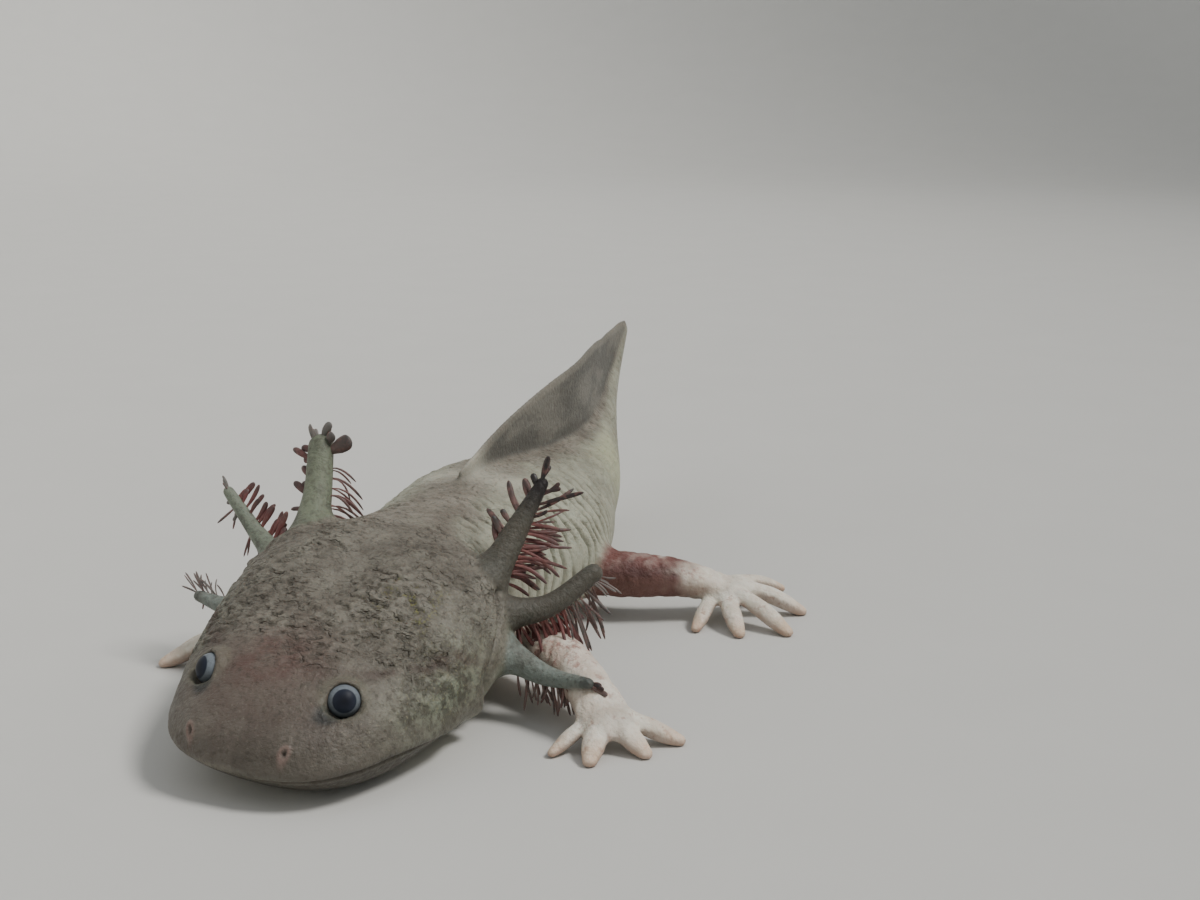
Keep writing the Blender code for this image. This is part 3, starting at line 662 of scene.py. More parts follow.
def head_forms(places):
    """The muscles and hollows of the head, and a fold above the mouth."""
    along, wide = places.along, np.abs(places.out)
    move = smooth(5, 45, places.angle) * sum(
        high * hill(spot, spread, along) * hill(out, reach, wide)
        for high, spot, spread, out, reach in HEAD_FORMS
    )
    fold = hill(12.6 - 0.04 * along, 0.9, places.height) * span(12, 17, 30, 38, along)
    return places.body * (move - 0.3 * fold)


def mouth_relief(places):
    """A crease under an overhanging lip, from side to side round the snout, and the mask of the
    painted shade along it.
    """
    gap = places.height - Track(MOUTH_LINE).at(places.along)[:, 0]
    mouth = places.body * smooth(33, 28, places.along)
    move = -0.8 * hill(0, 0.42, gap) + 0.4 * hill(1.6, 1.3, gap)
    move -= 0.5 * span(-5, -2, -1, 0, gap)
    return mouth * move, mouth * hill(0, 0.55, gap)


def nostril_relief(places):
    """Two small slits with a raised rim, and the masks of the rim and of the painted shade in the
    slits.
    """
    along, out = NOSTRIL
    slits = []
    for side in SIDES.values():
        a = places.along - along
        b = (places.out * side - out) * 0.9
        slits.append(np.hypot((a + b) * 0.8, (a - b) * 1.5))
    slit = np.minimum(*slits)
    above = places.body * smooth(0, 20, places.angle) * smooth(8, 5, places.along)
    rim = above * hill(0.85, 0.4, slit)
    hole = above * hill(0, 0.42, slit)
    return 0.2 * rim - 0.7 * hole, rim, hole


def grooves(places):
    """Folds down the flanks, one for each rib, and chevrons along the tail, with the masks of the
    painted shade in their valleys and of the painted highlight on the ribs' ridges.
    """
    along, angle = places.along, places.angle
    warp = lumps(places.points, 11, 3, 2)
    crease = folds_of((along + 2.6 * warp + 0.05 * np.abs(angle - 10)) / 3.3)
    crease *= smooth(-0.6, 0, lumps(places.points, 7, 12))
    flank = span(-85, -50, 40, 66, angle)
    ribs = places.body * flank * span(66, 80, 104, 132, along)
    band = folds_of((along + 0.8 * warp + 0.16 * np.abs(angle)) / 4.2)
    tail = places.body * span(118, 142, 190, 226, along)
    tail *= smooth(84, 66, np.abs(angle))
    valleys = ribs * crease
    return -0.8 * valleys - 0.12 * tail * band, valleys + 0.15 * tail * band, ribs - valleys


def neck_folds(places):
    """Creases round the neck, and the overlapping edge of the gill cover, with the mask of the
    painted shade in the creases and under that edge.
    """
    along, angle, points = places.along, places.angle, places.points
    crease = folds_of((along + 0.25 * places.out + 2.2 * lumps(points, 6, 8)) / 2.7)
    neck = places.body * span(48, 55, 74, 84, along)
    neck *= span(-85, -45, 66, 86, angle)
    folds = neck * crease * smooth(-0.25, 0.25, lumps(points, 5, 9))
    behind = along - Track(COVER_EDGE).at(angle)[:, 0]
    behind += 0.8 * lumps(points, 5, 10)
    cover = places.body * smooth(58, 48, angle)
    drop = cover * hill(0.6, 0.9, behind)
    lobes = hill(-2.5, 2.8, behind) * (0.7 + 1.6 * lumps(points, 4.2, 30))
    move = cover * (0.7 * lobes - 1.1 * hill(0.9, 1.2, behind))
    return move - 0.75 * folds, np.maximum(0.8 * folds, drop)


def rough_skin(places):
    """The pitted, wrinkled skin of the head and the finer grain of the back, with the mask of the
    painted shade in the pits.
    """
    points, along, angle, out = places.points, places.along, places.angle, places.out
    across = points * np.array((0.62, 1, 1)) + 0.5 * lumps(points, 2.6, 4)[:, None]
    worm = lumps(across, 1.05, 5)
    broad = lumps(across, 1.8, 6)
    grain = lumps(points, 0.8, 7)
    patches = lumps(points, 8, 11)
    top = smooth(0, 32, angle)
    head = places.body * top * smooth(10, 22, along + 9 * patches)
    head *= smooth(66, 50, along) * smooth(EYE_RADIUS + 0.8, EYE_RADIUS + 3, places.from_eye)
    back = places.body * top * smooth(46, 60, along)
    deepest = hill(35, 7.5, along) * hill(13.5, 7, out)
    band = np.clip(0.6 + 1.1 * patches + 0.5 * hill(27, 9, along), 0, 1)
    fine = smooth(0, 0.34, worm) * head * band
    deep = smooth(0, 0.32, broad) * head * np.clip(0.35 * band + deepest, 0, 1)
    snout = places.body * smooth(20, 12, along) * smooth(-20, 10, angle)
    pits = 0.42 * fine + 0.6 * deep
    move = 0.2 * head * (broad + 0.5 * patches) + 0.22 * back * (worm + broad) - pits
    move += (0.08 * head + 0.06 * back + 0.035 * snout) * grain
    wrinkled = np.clip(head * (0.4 + 0.6 * band) + 0.5 * back + 0.15 * snout, 0, 1)
    return move, np.clip(pits, 0, 1), deep * deepest, wrinkled


TRUNK_MIDDLE = 5  # about how far left of the frame's middle the trunk lies


def limb_relief(places):
    """Loose skin on the limbs: cross folds at the joints and soft lumps."""
    points = places.points
    limb = places.share("limb")
    sideways = np.abs(points[:, 0] - TRUNK_MIDDLE)
    fold = folds_of((sideways + 2.2 * lumps(points, 6, 14)) / 3.3)
    return limb * (0.16 * lumps(points, 3.6, 15, 2) - 0.14 * fold)


def eye_relief(places):
    """A low collar round each eye and a furrow that runs from it towards the snout, with the
    furrow's mask for its painted shade.
    """
    ring = places.body * hill(EYE_RADIUS + 1.1, 0.6, places.from_eye)
    furrow = np.zeros(len(places.points))
    for side in SIDES.values():
        a = (places.along - FURROW[0]) / FURROW[2]
        b = (places.out * side - FURROW[1]) / FURROW[3]
        furrow = np.maximum(furrow, smooth(0.2, 0.75, np.exp(-(a * a + b * b - 0.9 * a * b))))
    furrow *= places.body * smooth(EYE_RADIUS - 0.2, EYE_RADIUS + 0.4, places.from_eye)
    furrow *= smooth(10, 30, places.angle)
    return 0.12 * ring - 0.35 * furrow, furrow


def relief(places):
    """How far each point moves out along its normal, and the masks for its paint, among them how
    dark its creases are: painted shade in the creases, pits, furrows and rib valleys, and a painted
    highlight on the ribs' ridges.
    """
    mouth, lip = mouth_relief(places)
    nostrils, rims, nostril_shade = nostril_relief(places)
    ribs, valleys, ridges = grooves(places)
    folds, fold_shade = neck_folds(places)
    rough, pits, deep, wrinkled = rough_skin(places)
    eyes, furrow = eye_relief(places)
    skin = head_forms(places) + rough + limb_relief(places)
    # painted shade in the mouth's crease, the nostrils, the neck's folds and under the gill cover's
    # edge
    creases = np.maximum.reduce((lip, nostril_shade, 0.8 * fold_shade))
    # the crease, pit, furrow and valley masks are painted shade, the ridge mask a painted highlight
    return skin + mouth + nostrils + ribs + folds + eyes, {
        "crease": creases, "pits": pits, "deep": deep, "furrow": furrow, "nostril": rims,
        "valley_shade": valleys, "ridge_highlight": ridges, "wrinkled": wrinkled,
    }


# ---- the skin's paint

# Where the dark back gives way to the pale flank: distance along the spine and angle up
# the section in degrees.
PIGMENT_LINE = (
    (0, -75), (10, -62), (22, -42), (34, -24), (42, -12), (48, 4),
    (54, 34), (62, 56), (76, 66), (90, 70), (140, 66), (236, 60),
)
# Share of the way from shoulder or hip to wrist or ankle over which the skin pales.
PALE_FROM = {"fore": (0.72, 1.08), "hind": (0.82, 1.08)}
# How brown and how blue each gill's stalk is, and how sooty its tip.
GILL_TONES = {
    ("upper", "left"): (0.9, 0, 1), ("middle", "left"): (0.9, 0.2, 0),
    ("lower", "left"): (0.05, 0.8, 0.6), ("upper", "right"): (0.15, 0.1, 0.1),
    ("middle", "right"): (0.1, 0.35, 0), ("lower", "right"): (0.1, 0.8, 0.2),
}
SOOT_FROM = {"upper": 0.55, "middle": 0.86, "lower": 0.86}  # share of the way to the tip


def paint_masks(places, normals, creases):
    """Named values from 0 to 1 that say which colours the skin takes where."""
    along, out, angle, points = places.along, places.out, places.angle, places.points
    line = Track(PIGMENT_LINE).at(along)[:, 0] + 9 * lumps(points, 7, 21, 2)
    streak = hill(50 - 2 * (along - 18.7), 5, angle + 6 * lumps(points, 4, 23))
    below_mouth = smooth(-0.3, -1.5, places.height - Track(MOUTH_LINE).at(along)[:, 0])
    cheek = hill(28, 13, along) * hill(12, 26, angle)
    fin, limb, digit, gill = (
        places.share(kind, 2 if kind == "limb" else 1.1) for kind in KINDS[1:]
    )
    fin_edge = Track([row[:2] for row in UPPER_FIN]).at(along)[:, 0]
    foot = foot_share(points)
    brown, blue, soot = gill_masks(points)
    return {
        "back": np.maximum(smooth(-11, 11, angle - line), smooth(8, 4, along)),
        # behind the gill cover: a greener, darker tone, partly the skin's own tint and partly
        # painted shade under the gills
        "nape_tint_and_shade": hill(48, 6, along) * span(-50, -20, 46, 58, angle),
        "trunk": smooth(46, 62, along),
        "snout": smooth(26, 10, along + 0.25 * out) * smooth(-40, 10, angle),
        "flush": hill(15, 8, along) * hill(-1.5, 9, out) * smooth(25, 60, angle),
        "cheek": cheek,
        "streak": streak * span(15, 19, 36, 41, along),
        # low on the left cheek: painted shade
        "low": smooth(14, 9, places.height) * smooth(46, 38, along) * (out > 0),
        # below the mouth: a darker lower jaw, partly its own colour and partly painted shade under
        # the head
        "chin_dark_and_shade": below_mouth * smooth(38, 24, along),
        "belly": smooth(-25, -65, angle),
        # the root of the tail: paler, partly its own pale tone and partly a painted highlight on
        # its lit bulge
        "tail_root_pale_and_highlight": hill(153, 12, along) * span(-30, 10, 45, 70, angle),
        "fin": fin,
        # a pale strip along the upper fin's edge: a painted highlight where the edge catches the
        # light
        "fin_edge": fin * smooth(2.1, 1.1, fin_edge - points[:, 2]),
        # a pale patch where the upper fin starts: a painted highlight
        "fin_start_highlight": hill(93.5, 5.5, along) * smooth(-3, -1, points[:, 2] - 32.4),
        "limb": limb,
        "thigh": smooth(78, 88, points[:, 1]) * (1 - foot),
        # the top of the thigh: pinker, partly its own colour and partly a painted highlight from
        # above
        "thigh_top_pink_and_highlight": smooth(10.5, 14, points[:, 2] + 1.6 * lumps(points, 5, 25, 2)),
        "foot": np.maximum(digit, 0.8 * limb * foot),
        # the sideways and down-facing sides of the limbs and digits: painted shade
        "limb_side_shade": np.maximum(digit, limb) * smooth(0.55, -0.1, normals[:, 2]),
        "tip": places.tip,
        "gill": gill, "brown": brown, "blue": blue, "soot": soot,
        "eye_ring": hill(EYE_RADIUS + 1, 0.8, places.from_eye),
        # the wrinkled skin away from the cheeks, whose wrinkle lines get painted shade
        "lined": creases["wrinkled"] * (1 - cheek),
        **creases,
    }


def foot_share(points):
    """0 at the shoulder or hip, rising to 1 from the wrist or ankle on."""
    uneven = 0.12 * lumps(points, 4, 26, 2)
    share = np.zeros(len(points))
    for (kind, _), rows in LIMBS.items():
        shoulder, elbow, wrist = (np.array(rows[i][:3]) for i in (0, 1, -1))
        reach = np.linalg.norm(wrist - elbow)
        way = np.linalg.norm(points - shoulder, axis=1) / np.linalg.norm(wrist - shoulder)
        near = smooth(reach * 1.3, reach * 0.8, np.linalg.norm(points - wrist, axis=1))
        share = np.maximum(share, smooth(*PALE_FROM[kind], way + uneven) * near)
    return share


GILL_STOPS = 25  # places along each stalk that the points are compared with


def gill_masks(points):
    """How brown, blue and sooty each point is, by the nearest gill."""
    masks = np.zeros((3, len(points)))
    closest = np.full(len(points), np.inf)
    for (name, label), (brown, blue, soot) in GILL_TONES.items():
        track = gill_track(name, label)
        for share in np.linspace(0, 1, GILL_STOPS):
            centre = track.at(share * track.keys[-1])[0, :3]
            gap = np.linalg.norm(points - centre, axis=1)
            near = gap < closest
            closest[near] = gap[near]
            dark = soot * smooth(SOOT_FROM[name], 1, share)
            masks[:, near] = np.array((brown, blue, dark))[:, None]
    return masks


# ---- materials

def tone(colour):
    """A colour given as display values out of 255, made linear."""
    display = np.array(colour) / 255
    linear = np.where(display > 0.04045, ((display + 0.055) / 1.055) ** 2.4, display / 12.92)
    return (*linear.tolist(), 1.0)


class Paint:
    """A material's nodes, built up with short calls that hand back sockets."""

    def __init__(self, name, patterns):
        self.material = bpy.data.materials.new(name)
        self.material.use_nodes = True
        self.tree = self.material.node_tree
        self.place = self.tree.nodes.new("ShaderNodeTexCoord").outputs["Object"]
        self.sources = {label: self.noise(*row) for label, row in patterns.items()}

    def join(self, source, socket):
        """Link a socket, or set a plain value."""
        if isinstance(source, bpy.types.NodeSocket):
            self.tree.links.new(source, socket)
        elif source is not None:
            socket.default_value = source

    def node(self, kind, output, inputs, **settings):
        """An output of a new node."""
        node = self.tree.nodes.new("ShaderNode" + kind)
        for name, setting in settings.items():
            setattr(node, name, setting)
        for name, source in inputs.items():
            self.join(source, node.inputs[name])
        return node.outputs[output]

    def source(self, name):
        """A pattern by its name, or else the values of that name on the mesh."""
        if name in self.sources:
            return self.sources[name]
        return self.node("Attribute", "Fac", {}, attribute_name=name)

    def noise(self, spacing, detail, roughness, seed=0, stretch=(1, 1, 1)):
        """Smooth noise around 0.5, with lumps about a spacing in millimetres apart."""
        place = self.node("Mapping", "Vector", {
            "Vector": self.place, "Location": (seed, seed * 0.7, -seed), "Scale": stretch,
        })
        return self.node("TexNoise", "Fac", {
            "Vector": place, "Scale": 1 / (spacing * MM), "Detail": detail, "Roughness": roughness,
        })

    def between(self, source, low, high, to_low=0, to_high=1):
        """A source eased from one range into another."""
        return self.node("MapRange", "Result", {
            "Value": source, "From Min": low, "From Max": high, "To Min": to_low, "To Max": to_high,
        }, interpolation_type="SMOOTHSTEP")

    def math(self, operation, first, second=None):
        return self.node("Math", 0, {0: first, 1: second}, operation=operation)

    def bump(self, height, distance, strength, normal=None):
        return self.node("Bump", "Normal", {
            "Distance": distance * MM, "Strength": strength, "Height": height, "Normal": normal,
        })

    def coats(self, table):
        """The last coat of a table, in which a coat may build on those before it."""
        colours = {}
        for coat, (base, *layers) in table.items():
            colour = colours.get(base) or tone(base)
            for top, strength, mask, *pattern in layers:
                least, share = strength if isinstance(strength, tuple) else (0, strength)
                if pattern:
                    name, low, high = pattern
                    share = self.between(self.source(name), low, high, least, share)
                if mask:
                    share = self.math("MULTIPLY", self.source(mask), share)
                top = colours.get(top) or tone(top)
                colour = self.node("Mix", 2, {0: share, 6: colour, 7: top}, data_type="RGBA")
            colours[coat] = colour
        return colour

    def finish(self, sockets):
        """The material, once its shader's sockets are joined to sources or plain values."""
        for name, source in sockets.items():
            self.join(source, self.tree.nodes["Principled BSDF"].inputs[name])
        return self.material


# Patterns of noise: spacing, detail and roughness, and for most a seed and a stretch.
# Coats of paint: the colour or coat under the rest, then the layers over it, each with its
# colour or coat, its strength (or its least and greatest), the mask that it keeps to, and
# the pattern that breaks it up, with the stretch of values over which it comes in.
SKIN_PATTERNS = {
    "mottle": (5, 4, 0.6),
    "speck": (1.1, 3, 0.6, 3),
    "dust": (0.55, 2, 0.6, 5),
    "cloud": (13, 3, 0.55, 7),
    "patch": (2.6, 4, 0.65, 9),
    "blotch": (7, 4, 0.6, 11, (1, 0.3, 1)),
    "vein": (2.4, 5, 0.7, 13),
    "bloom": (4, 4, 0.6, 17),
    "grit": (0.9, 3, 0.6, 19),
    "wavy": (1.5, 2, 0.5, 23, (0.62, 1, 1)),
    "broken": (3.2, 1, 0.5, 27),
}
SKIN_COATS = {
    # The dark head and the paler back, clouded, with fine darker and paler specks.
    "head": ((106, 101, 92), ((124, 120, 110), 1, "", "cloud", 0.38, 0.62)),
    "trunk": ((118, 112, 102), ((142, 136, 125), 1, "", "cloud", 0.38, 0.62)),
    "snout": ((92, 84, 77), ((80, 71, 65), 1, "", "mottle", 0.4, 0.65)),
    "green": (
        (82, 84, 72),
        ((124, 129, 113), 1, "", "patch", 0.46, 0.56),
        ((146, 148, 128), 0.6, "", "patch", 0.58, 0.66),
        ((146, 146, 96), 0.6, "", "dust", 0.6, 0.7),
    ),
    "back": (
        "head",
        ("trunk", 1, "trunk"),
        ((86, 80, 72), 0.4, "", "mottle", 0.5, 0.68),
        ((138, 135, 122), 0.45, "", "mottle", 0.46, 0.32),
        ("snout", 0.75, "snout"),
        ((100, 70, 65), (0.3, 0.75), "flush", "mottle", 0.3, 0.7),
        ("green", (0.45, 1), "cheek", "mottle", 0.3, 0.5),
        ((74, 60, 54), (0.3, 0.8), "streak", "mottle", 0.4, 0.55),
        ((70, 64, 57), 0.5, "", "speck", 0.52, 0.66),
        ((142, 137, 122), 0.3, "", "dust", 0.58, 0.74),
        # painted shade over the lower left cheek
        ((74, 71, 64), 0.3, "low"),
        # the darker lower jaw: partly its own colour, partly painted shade
        ((62, 58, 53), 0.65, "chin_dark_and_shade"),
    ),
    # The pale flanks, tail and throat, banded by their folds: a painted highlight on the ridges and
    # painted shade in the valleys.
    "pale": (
        (142, 141, 126),
        ((164, 164, 147), 1, "", "mottle", 0.38, 0.64),
        ((124, 121, 106), 0.5, "", "cloud", 0.5, 0.7),
        # painted highlight on the ribs' ridges
        ((186, 188, 170), 0.55, "ridge_highlight"),
        # the root of the tail: partly its own pale tone, partly a painted highlight
        ((182, 184, 154), 0.8, "tail_root_pale_and_highlight"),
        ((180, 173, 157), 0.8, "belly"),
        ((98, 96, 80), 0.4, "", "speck", 0.58, 0.74),
        # behind the gill cover: partly its own greenish tint, partly painted shade
        ((104, 109, 97), 0.8, "nape_tint_and_shade"),
        # painted shade in the valleys of the folds
        ((88, 88, 70), 0.6, "valley_shade"),
    ),
    # The fins, blotched, with a pale strip along the upper fin's edge that is a painted highlight.
    "fin": (
        (84, 82, 76),
        ((110, 107, 99), 1, "", "blotch", 0.42, 0.6),
        ((72, 70, 64), 0.35, "", "speck", 0.55, 0.7),
        # painted highlight along the upper fin's edge
        ((146, 141, 129), 0.4, "fin_edge"),
    ),
    # The limbs: pinkish cream, flecked with red, with dark red thighs whose tops are pinker, partly
    # a painted highlight, and pale feet.
    "pink": ((124, 80, 74), ((166, 140, 132), 1, "", "bloom", 0.42, 0.6)),
    "thigh": (
        (82, 55, 53),
        ((104, 73, 70), 1, "", "mottle", 0.4, 0.62),
        # pinker top of the thigh: partly its own colour, partly a painted highlight
        ("pink", 0.75, "thigh_top_pink_and_highlight"),
    ),
    "limb": (
        (204, 186, 172),
        ((226, 215, 201), 1, "", "mottle", 0.4, 0.62),
        ((156, 102, 94), 0.7, "", "vein", 0.52, 0.64),
        ((118, 96, 86), 0.5, "", "speck", 0.62, 0.75),
        ("thigh", 1, "thigh"),
    ),
    "foot": (
        (222, 213, 198),
        ((244, 240, 228), 1, "", "mottle", 0.42, 0.6),
        ((178, 140, 124), 0.55, "", "vein", 0.56, 0.66),
        ((188, 172, 158), 0.4, "", "mottle", 0.5, 0.66),
        ((222, 176, 138), 0.5, "tip"),
    ),
    "stalk": (
        (122, 130, 108),
        ((128, 137, 134), 1, "blue"),
        ((76, 70, 64), 1, "brown"),
        ((84, 84, 76), 0.55, "", "mottle", 0.46, 0.62),
        ((66, 62, 57), 0.4, "", "speck", 0.5, 0.66),
        ((34, 30, 31), 1, "soot"),
    ),
    # All of them, then a painted highlight where the upper fin starts, painted shade on the limbs'
    # lower sides, painted shade in the wrinkle lines, pits, creases and furrows, and the nostrils
    # and rims of the eyes.
    "skin": (
        "pale",
        ("back", 1, "back"),
        ("fin", 1, "fin"),
        # painted highlight where the upper fin starts
        ((190, 187, 172), 0.6, "fin_start_highlight"),
        ("limb", 1, "limb"),
        ("foot", 1, "foot"),
        # painted shade on the limbs' and digits' lower sides
        ((128, 92, 82), 0.5, "limb_side_shade"),
        ("stalk", 1, "gill"),
        # painted shade in the wrinkle lines
        ((58, 53, 46), 0.26, "lines"),
        # painted shade in the pits
        ((58, 53, 46), 0.72, "pits"),
        ((128, 126, 66), 0.7, "deep", "dust", 0.5, 0.66),
        # painted shade in the creases
        ((60, 54, 46), 0.7, "crease"),
        # painted shade in the furrows before the eyes
        ((44, 46, 46), 0.85, "furrow"),
        ((120, 122, 104), 0.25, "eye_ring"),
        ((146, 122, 114), 0.6, "nostril"),
    ),
}


def skin_material():
    paint = Paint("skin", SKIN_PATTERNS)
    source, times = paint.source, lambda *pair: paint.math("MULTIPLY", *pair)
    # thin wavy lines in the wrinkles, painted darker as shade in their grooves
    off_middle = paint.math("ABSOLUTE", paint.math("SUBTRACT", source("wavy"), 0.5))
    line = paint.between(off_middle, 0, 0.075, 1, 0)
    line = times(line, paint.between(source("broken"), 0.40, 0.54))
    paint.sources["lines"] = times(line, source("lined"))
    rough = paint.bump(source("grit"), 0.5, 0.8)
    rough = paint.bump(times(source("wavy"), source("wrinkled")), 1.4, 0.7, rough)
    return paint.finish({
        "Base Color": paint.coats(SKIN_COATS),
        "Roughness": paint.between(source("speck"), 0.3, 0.7, 0.45, 0.62),
        "Specular IOR Level": 0.35,
        "Subsurface Weight": 0.12,
        "Subsurface Radius": (1, 0.45, 0.3),
        "Subsurface Scale": 1.5 * MM,
        "Normal": paint.bump(source("lines"), -0.3, 0.8, rough),
    })


# Degrees from the middle of the eye at which the ring and the dark rim begin; the rim is painted
# shade on the eye's lower side.
RING_FROM = (41.5, 46.5)
RIM_FROM = (68, 76)
EYE_COATS = {
    "ring": (
        (88, 94, 100),
        # the ring lighter on its upper side: painted light
        ((116, 124, 132), 1, "", "lit", 0.15, 0.8),
        ((74, 78, 80), 0.4, "", "streak", 0.45, 0.7),
    ),
    "pupil": ((24, 26, 35), ((36, 41, 54), 1, "", "away", 0, 40)),
    "eye": (
        "pupil",
        ("ring", 1, "", "away", *RING_FROM),
        # the dark rim on the lower side: painted shade
        ((66, 70, 70), 1, "unlit", "away", *RIM_FROM),
    ),
}


def eye_material():
    """A blue-black pupil in a blue-grey ring, with painted light on its upper part and painted
    shade towards the socket below.
    """
    paint = Paint("eye", {"streak": (0.5, 3, 0.6)})
    paint.sources["unlit"] = paint.between(paint.source("lit"), 0.9, 0.3)
    return paint.finish({
        "Base Color": paint.coats(EYE_COATS), "Roughness": 0.5, "Specular IOR Level": 0.2,
    })


FRINGE_COATS = {
    "root": ((100, 86, 78), ((146, 88, 82), 1, "red")),
    "middle": ((74, 62, 58), ((112, 58, 57), 1, "red")),
    "tip": ((40, 35, 35), ((82, 54, 53), 1, "red")),
    "fringe": (
        "root",
        ("middle", 1, "", "share", 0, 0.35),
        ("tip", 1, "", "share", 0.5, 0.95),
        ((150, 104, 96), 0.4, "", "spot", 0.48, 0.7),
        ((118, 116, 112), 1, "pale"),
    ),
}


def fringe_material():
    """Wine-red and brown leaves that darken or turn grey towards their tips."""
    paint = Paint("fringe", {"spot": (1.6, 2, 0.6)})
    return paint.finish({
        "Base Color": paint.coats(FRINGE_COATS),
        "Roughness": paint.between(paint.source("spot"), 0.3, 0.7, 0.38, 0.55),
        "Subsurface Weight": 0.2,
        "Subsurface Radius": (1, 0.3, 0.25),
        "Subsurface Scale": 0.8 * MM,
    })


def floor_material():
    paint = Paint("floor", {"grain": (30, 3, 0.5)})
    coats = {"floor": ((206, 206, 203), ((211, 211, 208), 1, "grain"))}
    return paint.finish({"Base Color": paint.coats(coats), "Roughness": 0.75})


# ---- objects

def place_object(name, data):
    item = bpy.data.objects.new(name, data)
    bpy.context.scene.collection.objects.link(item)
    return item


def build_piece(name, surface, values, finish, nodes):
    """A smooth piece in the frame from millimetres, with named values on its points."""
    points, quads, triangles = surface
    mesh = bpy.data.meshes.new(name)
    mesh.from_pydata((points * MM + SHIFT).tolist(), [], quads.tolist() + triangles.tolist())
    for label, column in values.items():
        layer = mesh.attributes.new(label, "FLOAT", "POINT")
        layer.data.foreach_set("value", np.asarray(column, dtype=np.float32))
    mesh.shade_smooth()
    mesh.materials.append(finish)
    piece = place_object(name, mesh)
    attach(piece, "root")
    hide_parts(*nodes)


# Each step of relaxing the skin: a share below 0 swells it again by what it has shrunk.
SKIN_RELAXING = (0.5, -0.52, 0.5, -0.52, 0.5)


def build_skin():
    fields, tips = build_fields()
    points, quads = skin_mesh(fields["skin"])
    points = relaxed(points, quads, SKIN_RELAXING)
    places = Places(points, fields, tips)
    normals = normals_of(points, quads)
    move, creases = relief(places)
    points = points + normals * move[:, None]
    points[:, 2] = np.maximum(points[:, 2], 0)
    masks = paint_masks(places, normals, creases)
    flesh = [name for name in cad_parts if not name.startswith("eye_")]
    surface = (points, quads, np.empty((0, 3), dtype=int))
    build_piece("skin", surface, masks, skin_material(), flesh)


def build_eyes():
    finish = eye_material()
    polar = np.radians(np.linspace(1, 179, 40))[:, None, None]
    turn = np.linspace(0, 2 * math.pi, 48, endpoint=False)[None, :, None]
    for label, side in SIDES.items():
        centre, look = eye_frame(side)
        across = unit(np.cross(look, UPWARD))
        upward = np.cross(across, look)
        ring = np.cos(turn) * across + np.sin(turn) * upward
        rows = centre + EYE_RADIUS * (np.cos(polar) * look + np.sin(polar) * ring)
        surface = closed_tube(rows)
        outward = unit(surface[0] - centre)
        away = np.degrees(np.arccos(np.clip(outward @ look, -1, 1)))
        values = {"away": away, "lit": 0.5 + 0.5 * outward @ upward}
        build_piece("eyeball_" + label, surface, values, finish, ["eye_" + label])


